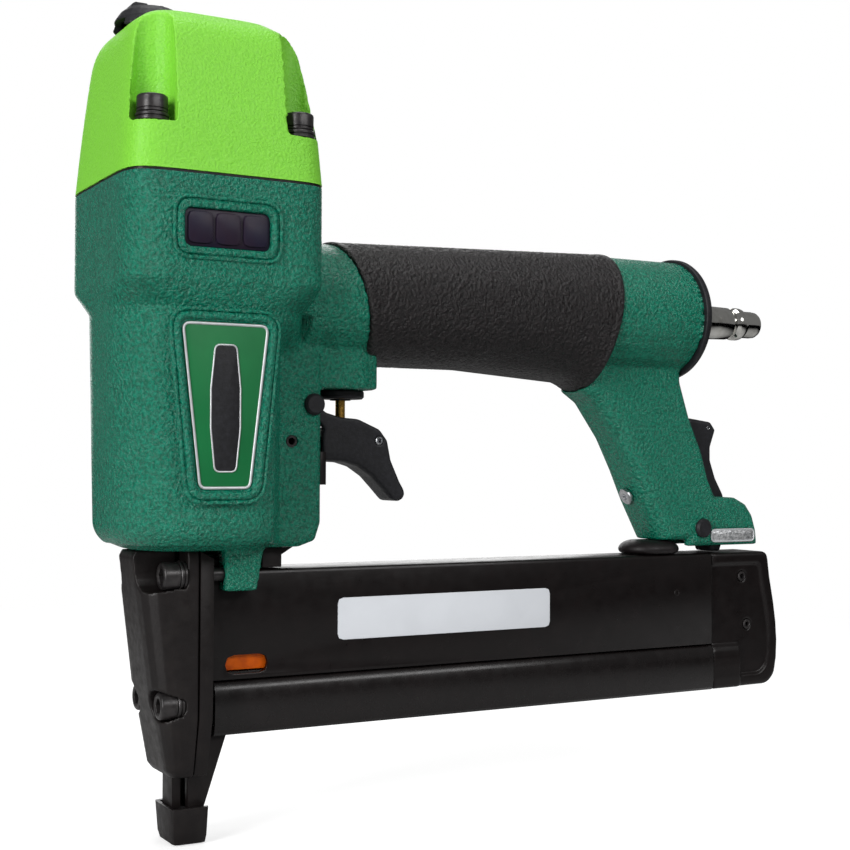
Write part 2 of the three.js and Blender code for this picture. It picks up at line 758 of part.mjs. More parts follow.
// The space between the two leaning rims of the grip, grown by `grow` at each rim
function gripZone(grow) {
  const height = gripTop - gripLow;
  const over = height + OVERRUN;
  const front = GRIP_FRONT - grow + (GRIP_FRONT_LEAN * height) / GRIP_LEAN_HEIGHT;
  const rear = GRIP_REAR + grow - (GRIP_REAR_LEAN * height) / GRIP_LEAN_HEIGHT;
  const shape = outline([
    [front, gripLow],
    [rear, gripLow],
    [rear + (GRIP_REAR_LEAN * over) / GRIP_LEAN_HEIGHT, gripLow + over],
    [front - (GRIP_FRONT_LEAN * over) / GRIP_LEAN_HEIGHT, gripLow + over],
  ]);
  return midPrism(shape, HANDLE_HALF + OVERRUN);
}

const strutBox = [STRUT_FRONT, strutBottom, STRUT_LENGTH, strutHeight];
const slotBox = [latchPivotX - LATCH_SLOT_AHEAD, strutBottom, LATCH_SLOT_LENGTH, strutHeight];
const strutShares = [
  [0, 0.756],
  [0.08, 0.699],
  [0.197, 0.527],
  [0.27, 0.377],
  [0.334, 0.226],
  [0.434, STRUT_STEP_SHARE],
  [0.586, STRUT_STEP_SHARE],
  [0.586, 0],
  [0.997, 0],
  [0.99, 0.073],
  [0.968, 0.148],
  [0.928, 0.205],
  [0.862, 0.239],
  [0.743, 0.246],
  [0.705, 0.327],
  [0.661, 0.477],
  [0.592, 0.639],
  [0.539, 0.814],
  [0.539, 0.95],
  [0.13, 0.95],
];
const strutFrontShares = [
  [0, 0.756],
  [0.08, 0.699],
  [0.197, 0.527],
  [0.27, 0.377],
  [0.334, 0.226],
  [0.43, STRUT_STEP_SHARE],
  [0.55, -0.2],
  [1.3, -0.2],
  [1.3, 1.3],
  [0, 1.3],
];
const latchSlotShares = [
  [0.503, 0.685],
  [0.542, 0.398],
  [0.578, 0.241],
  [0.578, 0.14],
  [0.59, -0.1],
  [1.1, -0.1],
  [1.1, 0.7],
  [0.6, 0.7],
];

// Turns a profile round the leaning axis of the strut's screw, places counted into the strut
function turnedOnStrut(profile) {
  const points = profile.map(([radius, place]) => new THREE.Vector2(radius, place));
  const geometry = new THREE.LatheGeometry(points, SMALL_SIDES);
  geometry.rotateX(Math.PI / 2).rotateY(THREE.MathUtils.degToRad(STRUT_SCREW_TILT_DEG));
  return toSolid(geometry.translate(alongStrut(STRUT_SCREW_SHARE), 0, strutBottom + STRUT_SCREW_UP));
}

function plateShape(more) {
  const x = [alongStrut(PLATE_FRONT_SHARE) - more, alongStrut(PLATE_REAR_SHARE) + more];
  return rounded(x, [plateLow - more, plateLow + PLATE_HEIGHT + more], PLATE_HEIGHT / 2);
}

function strutSolid() {
  const screwBore = [
    [0, STRUT_SCREW_LENGTH + GAP],
    [STRUT_SCREW_RADIUS + SEAT, STRUT_SCREW_LENGTH + GAP],
    [STRUT_SCREW_RADIUS + SEAT, GAP],
    [STRUT_SCREW_HEAD_RADIUS + GAP, GAP],
    [STRUT_SCREW_HEAD_RADIUS + GAP, -OVERRUN],
    [0, -OVERRUN],
  ];
  return cut(
    midPrism(framed(strutBox, strutShares), STRUT_HALF, STRUT_ROUND).intersect(
      midPrism(framed(strutBox, strutFrontShares), STRUT_HALF, STRUT_FRONT_ROUND, FINE_STEPS),
    ),
    midPrism(framed(slotBox, latchSlotShares), LATCH_HALF + GAP),
    crossBore(latchPivot, LATCH_PIN_RADIUS + SEAT, STRUT_HALF),
    sidePrism(NEAR, plateShape(SEAT), STRUT_HALF - PLATE_THICK, STRUT_HALF + OVERRUN),
    turnedOnStrut(screwBore),
  );
}

function webSolid() {
  const shape = outline([
    [BODY_X, barrelBottom],
    [webRear, barrelBottom, WEB_CORNER],
    [webRear, armTop],
    [BODY_X, armTop],
  ]);
  return midPrism(shape, WEB_HALF, WEB_ROUND);
}

// The arm that carries the valve, grown all round by `more`
function armSolid(more) {
  const shape = rounded([BODY_X, armRear + more], [-ARM_HALF - more, ARM_HALF + more], ARM_CORNER);
  return prism("z", shape, armBottom - more, armTop + more);
}

function earSolid(side) {
  const shape = outline([
    [EAR_FRONT, earLow],
    [EAR_REAR_LOW, earLow],
    [EAR_REAR, barrelBottom + BARREL_EDGE],
    [EAR_FRONT, barrelBottom + BARREL_EDGE],
  ]);
  return sidePrism(side, shape, MAG_HALF + SEAT, EAR_HALF);
}

// Outlines of badge and window, widened all round by `more`
function badgeShape(more) {
  const top = BADGE_TOP_LENGTH / 2 + more;
  const low = BADGE_BOTTOM_LENGTH / 2 + more;
  const corner = BADGE_CORNER + more;
  return outline([
    [SIDE_X - low, badgeLowZ - more, corner],
    [SIDE_X + low, badgeLowZ - more, corner],
    [SIDE_X + top, badgeTopZ + more, corner],
    [SIDE_X - top, badgeTopZ + more, corner],
  ]);
}

function windowShape(more) {
  const halfX = WINDOW_LENGTH / 2 + more;
  const halfZ = WINDOW_HEIGHT / 2 + more;
  return rounded([SIDE_X - halfX, SIDE_X + halfX], [windowZ - halfZ, windowZ + halfZ], WINDOW_CORNER + more);
}

// Room in the casting for the safety link, the trigger, the valve, the pins and the driver
function footCutters() {
  const below = barrelBottom - OVERRUN;
  const behind = webRear + OVERRUN;
  const slotHalf = SPINE_HALF + GAP;
  const driverHalf = DRIVER_HOLE_LENGTH / 2;
  const inWeb = [spineFront - GAP, behind];
  const overArms = linkLow + LINK_THICK + linkRise;
  return [
    midBlock([-STEM_PLATE_FRONT - GAP, YOKE_REAR + GAP], YOKE_HALF + GAP, [below, overArms]),
    midBlock([YOKE_FRONT - GAP, YOKE_REAR + GAP], YOKE_HALF + GAP, [below, yokeTop + linkRise]),
    midBlock([YOKE_FRONT, behind], slotHalf, [below, yokeTop + linkRise]),
    midBlock(inWeb, slotHalf, [below, tabHigh + linkRise]),
    midBlock(inWeb, TRIGGER_SLOT_HALF, [triggerSlotBottom, armBottom]),
    midBlock([DRIVER_X - driverHalf, DRIVER_X + driverHalf], DRIVER_HOLE_HALF, [below, floorTop + OVERRUN]),
    rod("z", [LINK_SPRING_X, 0], LINK_SPRING_RADIUS + GAP, below, linkSpringTop + GAP),
    rod("z", valveAxis, VALVE_RADIUS + SEAT, armBottom - OVERRUN, valveTop + SEAT),
    crossBore(triggerPivot, TRIGGER_PIN_RADIUS + SEAT, WEB_HALF),
    rod("y", stopPinAt, STOP_PIN_RADIUS + SEAT, -WEB_HALF - OVERRUN, STOP_PIN_LENGTH - WEB_HALF),
  ];
}

function castingSolid() {
  let body = join(barrelSkin(), webSolid(), handleSkin(GRIP_LIP, false), strutSolid());
  body = cut(body, handleSkin(-SEAT, true).intersect(gripZone(SEAT)));
  body = join(body, handleSkin(GRIP_WALL + SEAT, true).intersect(gripZone(2 * SEAT)), armSolid(0));
  for (const side of SIDES) {
    body = join(
      body,
      earSolid(side),
      sidePrism(side, badgeShape(BADGE_FRAME), boreRadius - OVERRUN, badgeFaceY, BADGE_RECESS / 2),
      sidePrism(side, windowShape(WINDOW_FRAME), boreRadius, collarHalfY + WINDOW_PROUD, WINDOW_PROUD),
    );
    body = cut(
      body,
      sidePrism(side, badgeShape(SEAT), badgeFaceY - BADGE_RECESS, badgeFaceY + OVERRUN),
      sidePrism(side, windowShape(SEAT), collarHalfY - WINDOW_DEPTH, collarHalfY + OVERRUN),
    );
  }
  const capScrewEnd = channelSeat + WASHER_THICK - CAP_SCREW_LENGTH;
  const noseScrewEnd = HIGH_SCREW_LENGTH - NOSE_SCREW_SEAT + GAP;
  const capBores = capScrewPlaces.map((at) =>
    rod("z", at, SCREW_RADIUS + SEAT, capScrewEnd, collarTop + OVERRUN, SMALL_SIDES),
  );
  const noseBores = SIDES.map((side) =>
    rod("x", [side * HIGH_SCREW_Y, highScrewZ], NOSE_SCREW_RADIUS + SEAT, BODY_X, noseScrewEnd, SMALL_SIDES),
  );
  return cut(
    body,
    rod("z", bodyAxis, boreRadius, floorTop, collarTop + OVERRUN, BIG_SIDES),
    rod("x", handleAxis, AIR_RADIUS, BODY_X, handleEnd + OVERRUN),
    ...footCutters(),
    ...capBores,
    ...noseBores,
  );
}

// Rows: rise, inset, squareness and lean to the front of the cap's skin
const capShares = [
  [0, 0, 1, 0],
  [0.37, 0.055, 1, 0],
  [0.7, 0.13, 0.95, 0.02],
  [0.82, 0.175, 0.88, 0.032],
  [0.9, 0.25, 0.78, 0.045],
  [0.955, 0.37, 0.66, 0.055],
  [0.985, 0.54, 0.48, 0.06],
  [1, 0.82, 0.36, 0.06],
];

// Cap: crown, open corner channels, hollow for the head valve, exhaust port round a screw post
function capSolid() {
  const rings = capShares.map(([rise, inset, squareness, lean]) => {
    const keep = 1 - inset;
    const z = capBottom + rise * CAP_HEIGHT;
    return bodyRing(z, collarHalfX * keep, collarHalfY * keep, COLLAR_POWER * squareness, lean * collarHalfX);
  });
  let body = loft(rings);
  const up = [channelSeat, capTop + OVERRUN];
  for (const [x, y] of capScrewPlaces) {
    const out = Math.sign(y) * (collarHalfY + OVERRUN);
    body = cut(
      body,
      rod("z", [x, y], CHANNEL_RADIUS, ...up),
      block([x - CHANNEL_RADIUS, x + CHANNEL_RADIUS], [y, out], up),
      rod("z", [x, y], SCREW_RADIUS + SEAT, capBottom - OVERRUN, channelSeat + OVERRUN, SMALL_SIDES),
    );
  }
  const portZ = [capHollowTop - SEAT, deflectorBottom];
  const postZ = [capHollowTop - OVERRUN, deflectorBottom];
  const port = cut(
    rod("z", deflectorAxis, PORT_RADIUS, ...portZ),
    rod("z", deflectorAxis, POST_RADIUS, ...postZ),
    midBlock([deflectorX - PORT_RADIUS, deflectorX + PORT_RADIUS], POST_RIB / 2, postZ),
  );
  const postScrewEnd = postHeadSeat - POST_SCREW_LENGTH - GAP;
  return cut(
    body,
    rod("z", bodyAxis, capHollowRadius, capBottom - OVERRUN, capHollowTop, BIG_SIDES),
    rod("z", deflectorAxis, DEFLECTOR_RADIUS + GAP, deflectorBottom - GAP, capTop + OVERRUN, BIG_SIDES),
    port,
    rod("z", deflectorAxis, POST_SCREW_RADIUS + SEAT, postScrewEnd, capTop, SMALL_SIDES),
  );
}

function buildHead() {
  piece("housing", castingSolid(), "casting");
  const gasketLow = collarTop + SEAT;
  const rings = [gasketLow, gasketLow + GASKET_THICK].map((z) =>
    bodyRing(z, collarHalfX - GAP, collarHalfY - GAP, COLLAR_POWER),
  );
  const through = [collarTop - OVERRUN, collarTop + OVERRUN];
  const gasket = cut(
    loft(rings),
    rod("z", bodyAxis, capHollowRadius, ...through, BIG_SIDES),
    ...capScrewPlaces.map((at) => rod("z", at, SCREW_RADIUS + SEAT, ...through, SMALL_SIDES)),
  );
  piece("cap_gasket", gasket, "rubber");
  piece("cap", capSolid(), "lime");
  const washerLow = channelSeat + SEAT;
  const profile = screwProfile(
    [SCREW_RADIUS, CAP_SCREW_LENGTH],
    [SCREW_HEAD_RADIUS, SCREW_HEAD_HEIGHT],
    [SOCKET_RADIUS, SOCKET_DEPTH],
    washerLow + WASHER_THICK + SEAT,
  );
  capScrewPlaces.forEach((at, i) => {
    const washer = tube("z", at, SCREW_RADIUS + SEAT, WASHER_RADIUS, washerLow, washerLow + WASHER_THICK);
    piece(`cap_washer_${i + 1}`, washer, "screw");
    piece(`cap_screw_${i + 1}`, turned("z", at, profile, SMALL_SIDES), "screw");
  });
}

const domeShares = [
  [0, 0],
  [0.98, 0],
  [1, 0.08],
  [0.93, 0.37],
  [0.8, 0.64],
  [0.66, 0.8],
  [0.45, 0.88],
  [0, 0.9],
];
const wingShares = [
  [-0.66, 0.6],
  [0.62, 0.5],
  [0.44, 0.85],
  [0.24, 1],
  [-0.5, 1],
  [-0.58, 0.92],
];

// Fluted dome with a finger bar: turns on the exhaust port and throws the air out of one mouth
function buildDeflector() {
  const profile = domeShares.map(([r, z]) => [r * DEFLECTOR_RADIUS, deflectorBottom + z * DEFLECTOR_HEIGHT]);
  let dome = turned("z", deflectorAxis, profile, 2 * MID_SIDES);
  const through = [deflectorBottom - OVERRUN, deflectorTop + OVERRUN];
  const fluteReach = DEFLECTOR_RADIUS + FLUTE_RADIUS / 3;
  for (let i = 0; i < FLUTES; i++) {
    const angle = (2 * Math.PI * (i + 1 / 2)) / FLUTES;
    const at = [deflectorX + fluteReach * Math.cos(angle), fluteReach * Math.sin(angle)];
    dome = cut(dome, rod("z", at, FLUTE_RADIUS, ...through, SMALL_SIDES));
  }
  const wingBox = [deflectorX, deflectorBottom, DEFLECTOR_RADIUS, DEFLECTOR_HEIGHT];
  dome = dome.add(prism("y", framed(wingBox, wingShares), -WING_HALF, WING_HALF));
  const hub = POST_RADIUS + GAP;
  const chamber = [through[0], deflectorBottom + DEFLECTOR_CHAMBER];
  const mouth = [through[0], deflectorBottom + DEFLECTOR_CHAMBER / 2];
  dome = cut(
    dome,
    tube("z", deflectorAxis, hub, DEFLECTOR_RADIUS - DEFLECTOR_RIM, ...chamber),
    midBlock([deflectorX - DEFLECTOR_RADIUS - OVERRUN, deflectorX - hub], DEFLECTOR_MOUTH, mouth),
    rod("z", deflectorAxis, POST_SCREW_RADIUS + GAP, ...through, SMALL_SIDES),
    rod("z", deflectorAxis, POST_SCREW_HEAD_RADIUS + GAP, postHeadSeat - SEAT, through[1]),
  );
  piece("exhaust_deflector", dome, "plastic");
  const screw = screwProfile(
    [POST_SCREW_RADIUS, POST_SCREW_LENGTH],
    [POST_SCREW_HEAD_RADIUS, POST_SCREW_HEAD],
    [POST_SCREW_RADIUS, POST_SCREW_SOCKET],
    postHeadSeat,
  );
  piece("deflector_screw", turned("z", deflectorAxis, screw, SMALL_SIDES), "screw");
}

// Windows with raised panes and bare badges, one of each on both sides
function buildSidePlates() {
  const base = collarHalfY - WINDOW_DEPTH + SEAT;
  const face = collarHalfY - PANE_THICK;
  const step = (WINDOW_LENGTH - PANE_BORDER) / PANES;
  const paneHalf = WINDOW_HEIGHT / 2 - PANE_BORDER;
  const badgeSeat = badgeFaceY - BADGE_RECESS + SEAT;
  for (const side of SIDES) {
    const word = side < 0 ? "left" : "right";
    let glass = sidePrism(side, windowShape(0), base, face);
    for (let i = 0; i < PANES; i++) {
      const left = SIDE_X - WINDOW_LENGTH / 2 + PANE_BORDER + i * step;
      const paneX = [left, left + step - PANE_BORDER];
      const pane = rounded(paneX, [windowZ - paneHalf, windowZ + paneHalf], WINDOW_CORNER);
      glass = glass.add(sidePrism(side, pane, base, face + PANE_THICK));
    }
    piece(`window_${word}`, glass, "window");
    const badge = sidePrism(side, badgeShape(0), badgeSeat, badgeSeat + BADGE_THICK, BADGE_THICK / 4);
    piece(`badge_${word}`, badge, "badge");
  }
}

// Cylinder sleeve and the bumper at its foot
function buildCylinder() {
  const flangeRadius = boreRadius - GAP;
  const foot = floorTop + SEAT;
  const upper = collarTop - SLEEVE_FLANGE;
  const sleeve = [
    [sleeveBore, foot],
    [flangeRadius, foot],
    [flangeRadius, foot + SLEEVE_FLANGE],
    [sleeveRadius, foot + SLEEVE_FLANGE],
    [sleeveRadius, upper],
    [flangeRadius, upper],
    [flangeRadius, collarTop - SEAT],
    [sleeveRadius, collarTop - SEAT],
    [sleeveRadius, sleeveTop],
    [sleeveBore, sleeveTop],
    [sleeveBore, foot],
  ];
  piece("cylinder_sleeve", turned("z", bodyAxis, sleeve, BIG_SIDES), "steel");
  const bumper = [
    [BUMPER_HOLE, foot],
    [bumperRadius, foot],
    [bumperRadius - BUMPER_WAIST, foot + BUMPER_HEIGHT / 2],
    [bumperRadius, foot + BUMPER_HEIGHT],
    [BUMPER_HOLE, foot + BUMPER_HEIGHT],
    [BUMPER_HOLE, foot],
  ];
  piece("bumper", turned("z", bodyAxis, bumper, BIG_SIDES), "amber");
}

// Piston with its seal and driver blade
function buildPiston() {
  const ringTop = ringLow + RING_HEIGHT;
  const top = pistonBottom + PISTON_HEIGHT;
  const groove = pistonRadius - RING_DEPTH - SEAT;
  const profile = [
    [0, pistonBottom],
    [pistonRadius, pistonBottom],
    [pistonRadius, ringLow - SEAT],
    [groove, ringLow - SEAT],
    [groove, ringTop + SEAT],
    [pistonRadius, ringTop + SEAT],
    [pistonRadius, top],
    [pistonRadius - PISTON_RIM, top],
    [pistonRadius - PISTON_RIM, top - PISTON_CUP_DEPTH],
    [0, top - PISTON_CUP_DEPTH],
  ];
  const blade = [DRIVER_X - DRIVER_THICK / 2, DRIVER_X + DRIVER_THICK / 2];
  const slot = [blade[0] - SEAT, blade[1] + SEAT];
  const slotZ = [pistonBottom - OVERRUN, driverTop + SEAT];
  const piston = cut(turned("z", bodyAxis, profile, BIG_SIDES), midBlock(slot, DRIVER_HALF + SEAT, slotZ));
  piece("piston", piston, "steel");
  const seal = tube("z", bodyAxis, groove + SEAT, pistonRadius + SEAT, ringLow, ringTop, BIG_SIDES);
  piece("piston_seal", seal, "rubber");
  piece("driver_blade", midBlock(blade, DRIVER_HALF, [DRIVER_TIP, driverTop]), "steel");
}

function buildHeadValve() {
  const low = sleeveTop + GAP;
  const top = low + HEAD_VALVE_HEIGHT;
  piece("head_valve", tube("z", bodyAxis, HEAD_VALVE_HOLE, headValveRadius, low, top, BIG_SIDES), "plastic");
  const inner = HEAD_SPRING_RADIUS - HEAD_SPRING_WIRE;
  const spring = tube("z", bodyAxis, inner, HEAD_SPRING_RADIUS, top + GAP, capHollowTop - GAP);
  piece("head_valve_spring", spring, "steel");
}

const plugShares = [
  [0.78, 0],
  [0.78, 0.21],
  [1, 0.21],
  [1, 0.5],
  [0.94, 0.55],
  [0.89, 0.7],
  [0.77, 0.735],
  [0.91, 0.765],
  [0.88, 0.83],
  [0.77, 0.86],
  [0.75, 0.95],
  [0.66, 1],
];

// Grip sleeve, end cap of the handle and the air plug screwed into it
function buildHandle() {
  const shell = cut(handleSkin(0, true).intersect(gripZone(0)), handleSkin(GRIP_WALL, true), armSolid(SEAT));
  piece("handle_grip", shell, "rubber");

  const faceX = handleEnd + SEAT;
  const backX = faceX + DISC_THICK;
  const discRing = (x, inset) =>
    squircle(BIG_SIDES, DISC_HALF_WIDTH - inset, DISC_HALF_HEIGHT - inset, ROUND_POWER).map(
      ([y, z]) => new V(x, y, discZ + z),
    );
  const disc = loft([discRing(faceX, 0), discRing(backX - DISC_ROUND, 0), discRing(backX, DISC_ROUND)]);
  const spigot = rod("x", handleAxis, AIR_RADIUS - SEAT, faceX - SPIGOT_LENGTH, faceX + SEAT);
  const thread = rod("x", plugAxis, PLUG_THREAD_RADIUS + SEAT, faceX - SPIGOT_LENGTH - OVERRUN, backX + OVERRUN);
  piece("handle_end_cap", cut(disc.add(spigot), thread), "plastic");

  const hexX = backX + SEAT;
  const plugX = hexX - PLUG_THREAD_LENGTH;
  const length = PLUG_THREAD_LENGTH + PLUG_LENGTH;
  const skin = plugShares.map(([r, x]) => [r * PLUG_RADIUS, plugX + x * length]);
  const profile = [[PLUG_BORE, plugX], ...skin, [PLUG_BORE, plugX + length], [PLUG_BORE, plugX]];
  const hex = cut(
    rod("x", plugAxis, PLUG_HEX_RADIUS, hexX, hexX + PLUG_HEX_LENGTH, HEX_SIDES),
    rod("x", plugAxis, PLUG_BORE + SEAT, plugX, plugX + length),
  );
  piece("air_plug", turned("x", plugAxis, profile).add(hex), "steel");
}

const triggerBox = [triggerFront, triggerLow, TRIGGER_LENGTH, TRIGGER_HEIGHT];
const triggerShares = [
  [0, 0.902],
  [0.024, 0.972],
  [0.086, 1],
  [0.148, 0.972],
  [0.19, 0.92],
  [0.28, 0.84],
  [0.41, 0.798],
  [0.52, 0.789],
  [0.567, 0.783],
  [0.755, 0.69, 0.08],
  [0.825, 0.587],
  [0.858, 0.4],
  [0.94, 0.193],
  [1, 0.08, 0.08],
  [0.94, -0.005, 0.08],
  [0.865, 0.04],
  [0.8, 0.125],
  [0.7, 0.245],
  [0.578, 0.338],
  [0.46, 0.378],
  [0.323, 0.385],
  [0.285, 0.42],
  [0.282, 0.678],
  [0.185, 0.786],
  [0.086, 0.804],
  [0.024, 0.832],
];
const underShares = [
  [-0.5, 0.39],
  [0.323, 0.385],
  [0.46, 0.378],
  [0.578, 0.338],
  [0.7, 0.245],
  [0.8, 0.125],
  [0.9, 0],
  [1.5, 0],
  [1.5, 1.5],
  [-0.5, 1.5],
];
const channelShares = [
  [-0.2, 0.455],
  [0.323, 0.455],
  [0.47, 0.445],
  [0.6, 0.4],
  [0.73, 0.3],
  [0.8, 0.22],
  [0.86, 0.2],
  [0.87, 0.28],
  [0.82, 0.39],
  [0.8, 0.5],
  [1.1, 0.56],
  [1.1, 1.2],
  [-0.2, 1.2],
];
const leverBox = [leverFront, leverLow, LEVER_LENGTH, LEVER_HEIGHT];
const leverShares = [
  [0, 0.52],
  [0.13, 0.507],
  [0.81, 0.04],
  [0.914, 0],
  [0.985, 0.113],
  [1, 0.38],
  [0.96, 0.61],
  [0.845, 0.746],
  [0.695, 0.873],
  [0.446, 0.986],
  [0.197, 0.986],
  [0, 0.845],
];

// A headed pin across the tool and the ring that holds its far end
function pinAndClip(name, at, radius, headRadius, half) {
  const face = half + SEAT;
  const clipEnd = face + CLIP_THICK;
  const profile = [
    [0, -face - PIN_HEAD_THICK],
    [headRadius, -face - PIN_HEAD_THICK],
    [headRadius, -face],
    [radius, -face],
    [radius, clipEnd + CLIP_THICK],
    [0, clipEnd + CLIP_THICK],
  ];
  piece(name, turned("y", at, profile), "plastic");
  piece(`${name}_clip`, tube("y", at, radius + SEAT, radius + CLIP_WIDTH, face, clipEnd), "screw");
}

function buildTrigger() {
  const trigger = cut(
    midPrism(framed(triggerBox, triggerShares), TRIGGER_HALF, TRIGGER_ROUND).intersect(
      midPrism(framed(triggerBox, underShares), TRIGGER_HALF, TRIGGER_LOW_ROUND, CORNER_STEPS + 1),
    ),
    midPrism(framed(triggerBox, channelShares), TRIGGER_HALF - TRIGGER_CHEEK),
    crossBore(triggerPivot, TRIGGER_PIN_RADIUS + GAP, TRIGGER_HALF),
    crossBore(rivetAt, RIVET_RADIUS + SEAT, TRIGGER_HALF),
  );
  piece("trigger", trigger, "plastic");
  const rivetHalf = TRIGGER_HALF + GAP;
  piece("trigger_rivet", rod("y", rivetAt, RIVET_RADIUS, -rivetHalf, rivetHalf, SMALL_SIDES), "steel");
  const lever = cut(
    midPrism(framed(leverBox, leverShares), LEVER_HALF),
    crossBore(rivetAt, RIVET_RADIUS + GAP, LEVER_HALF),
  );
  piece("trigger_lever", lever, "steel");
  pinAndClip("trigger_pin", triggerPivot, TRIGGER_PIN_RADIUS, TRIGGER_PIN_HEAD, WEB_HALF);
  const stopPin = tube("y", stopPinAt, STOP_PIN_BORE, STOP_PIN_RADIUS, -WEB_HALF, STOP_PIN_LENGTH - WEB_HALF - SEAT);
  piece("stop_pin", stopPin, "screw");
}

// Trigger valve: flanged body in the arm, brass stem and return spring
function buildValve() {
  const flangeTop = armBottom - SEAT;
  const flangeLow = flangeTop - FLANGE_THICK;
  const body = cut(
    join(
      rod("z", valveAxis, FLANGE_RADIUS, flangeLow, flangeTop, BIG_SIDES),
      rod("z", valveAxis, VALVE_RADIUS, flangeTop - SEAT, valveTop),
    ),
    rod("z", valveAxis, STEM_RADIUS + GAP, flangeLow - OVERRUN, chamberBottom + SEAT, SMALL_SIDES),
    rod("z", valveAxis, CHAMBER_RADIUS, chamberBottom, chamberTop),
    rod("z", valveAxis, CHAMBER_PORT, chamberTop - SEAT, valveTop + OVERRUN, SMALL_SIDES),
  );
  piece("valve_body", body, "plastic");
  const headLow = chamberBottom + GAP;
  const headTop = headLow + STEM_HEAD;
  const stem = [
    [0, stemBottom],
    [STEM_RADIUS, stemBottom],
    [STEM_RADIUS, headLow],
    [STEM_HEAD_RADIUS, headLow],
    [STEM_HEAD_RADIUS, headTop],
    [0, headTop],
  ];
  piece("valve_stem", turned("z", valveAxis, stem, SMALL_SIDES), "brass");
  const inner = VALVE_SPRING_RADIUS - VALVE_SPRING_WIRE;
  const spring = tube("z", valveAxis, inner, VALVE_SPRING_RADIUS, headTop + GAP, chamberTop - GAP, SMALL_SIDES);
  piece("valve_spring", spring, "steel");
}

// Rows: rise, reach of the front face, half width at the front, half width at the back
const noseShares = [
  [0, 0.43, 0.74, 0.7],
  [0.03, 0.508, 0.82, 0.78],
  [0.256, 0.646, 0.93, 0.98],
  [0.396, 0.754, 0.97, 1],
  [0.973, 1, 1, 1],
  [1, 0.955, 0.95, 0.97],
];
const guideBox = [0, GUIDE_SHOULDER, NOSE_BACK_HALF, guideTop - GUIDE_SHOULDER];
const guideShares = [
  [-0.7, 0],
  [0.7, 0],
  [0.98, 0.27],
  [1, 0.4],
  [1, 1],
  [-1, 1],
  [-1, 0.4],
  [-0.98, 0.27],
];
const noseScrews = [
  [-HIGH_SCREW_Y, highScrewZ, HIGH_SCREW_LENGTH],
  [HIGH_SCREW_Y, highScrewZ, HIGH_SCREW_LENGTH],
  [-LOW_SCREW_Y, LOW_SCREW_Z, LOW_SCREW_LENGTH],
  [LOW_SCREW_Y, LOW_SCREW_Z, LOW_SCREW_LENGTH],
];
const stemSlotX = [-STEM_PLATE_FRONT - GAP, STEM_PLATE_THICK - STEM_PLATE_FRONT + GAP];

function frontPlate() {
  const rings = noseShares.map(([rise, reach, tip, back]) => {
    const shape = outline([
      [-NOSE_BACK, -back * NOSE_BACK_HALF],
      [-NOSE_BACK, back * NOSE_BACK_HALF],
      [-reach * NOSE_REACH, tip * NOSE_TIP_HALF, NOSE_CORNER],
      [-reach * NOSE_REACH, -tip * NOSE_TIP_HALF, NOSE_CORNER],
    ]);
    return outlineRing(NOSE_BOTTOM + rise * (noseTop - NOSE_BOTTOM), shape, FINE_STEPS);
  });
  const over = noseTop + OVERRUN;
  const plate = cut(
    loft(rings),
    midBlock(stemSlotX, STEM_PLATE_HALF + GAP, [NOSE_BOTTOM - OVERRUN, over]),
    midBlock([stemSlotX[0], 0], LINK_ARM_OUTER + GAP, [MAG_TOP, over]),
  );
  const pocketX = [-NOSE_REACH - OVERRUN, -NOSE_SCREW_SEAT];
  const openPockets = SIDES.map((side) => {
    const edges = [HIGH_SCREW_Y - POCKET_RADIUS, NOSE_BACK_HALF + OVERRUN];
    return block(pocketX, [side * edges[0], side * edges[1]], [highScrewZ, over]);
  });
  return cut(
    plate,
    ...openPockets,
    ...noseScrews.map(([y, z]) => rod("x", [y, z], POCKET_RADIUS, ...pocketX)),
    ...noseScrews.map(([y, z]) => rod("x", [y, z], NOSE_SCREW_RADIUS + SEAT, pocketX[0], 0, SMALL_SIDES)),
  );
}

// Plate behind the driver with its raceway, the feed opening and the tip that carries the foot
function guidePlate() {
  const gusset = outline([
    [-GUIDE_FRONT, GUIDE_BOTTOM],
    [GUSSET_TIP, GUIDE_BOTTOM],
    [GUSSET_REAR, GUSSET_TOP],
    [-GUIDE_FRONT, GUSSET_TOP],
  ]);
  const through = [-GUIDE_FRONT - OVERRUN, GUIDE_REAR + OVERRUN];
  return cut(
    prism("x", framed(guideBox, guideShares), -GUIDE_FRONT, GUIDE_REAR).add(midPrism(gusset, GUSSET_HALF)),
    midBlock([through[0], RACEWAY_DEPTH - GUIDE_FRONT], RACEWAY_HALF, [0, noseTop]),
    midBlock(through, FEED_HALF, [FEED_LOW, feedHigh]),
    midBlock(through, LINK_ARM_OUTER + GAP, [MAG_TOP, noseTop]),
    ...noseScrews.map(([y, z]) => rod("x", [y, z], NOSE_SCREW_RADIUS + SEAT, ...through, SMALL_SIDES)),
  );
}

function buildNose() {
  piece("nose_front_plate", frontPlate(), "blackSteel");
  piece("nose_guide_plate", guidePlate(), "blackSteel");
  const headEnd = NOSE_WASHER + NOSE_HEAD;
  noseScrews.forEach(([y, z, length], i) => {
    const profile = [
      [0, -length],
      [NOSE_SCREW_RADIUS, -length],
      [NOSE_SCREW_RADIUS, 0],
      [NOSE_WASHER_RADIUS, 0],
      [NOSE_WASHER_RADIUS, NOSE_WASHER],
      [NOSE_HEAD_RADIUS, NOSE_WASHER],
      [NOSE_HEAD_RADIUS, headEnd],
      [SOCKET_RADIUS, headEnd],
      [SOCKET_RADIUS, headEnd - SOCKET_DEPTH],
      [0, headEnd - SOCKET_DEPTH],
    ].map(([r, place]) => [r, -NOSE_SCREW_SEAT - SEAT - place]);
    piece(`nose_screw_${i + 1}`, turned("x", [y, z], profile, SMALL_SIDES), "screw");
  });
}

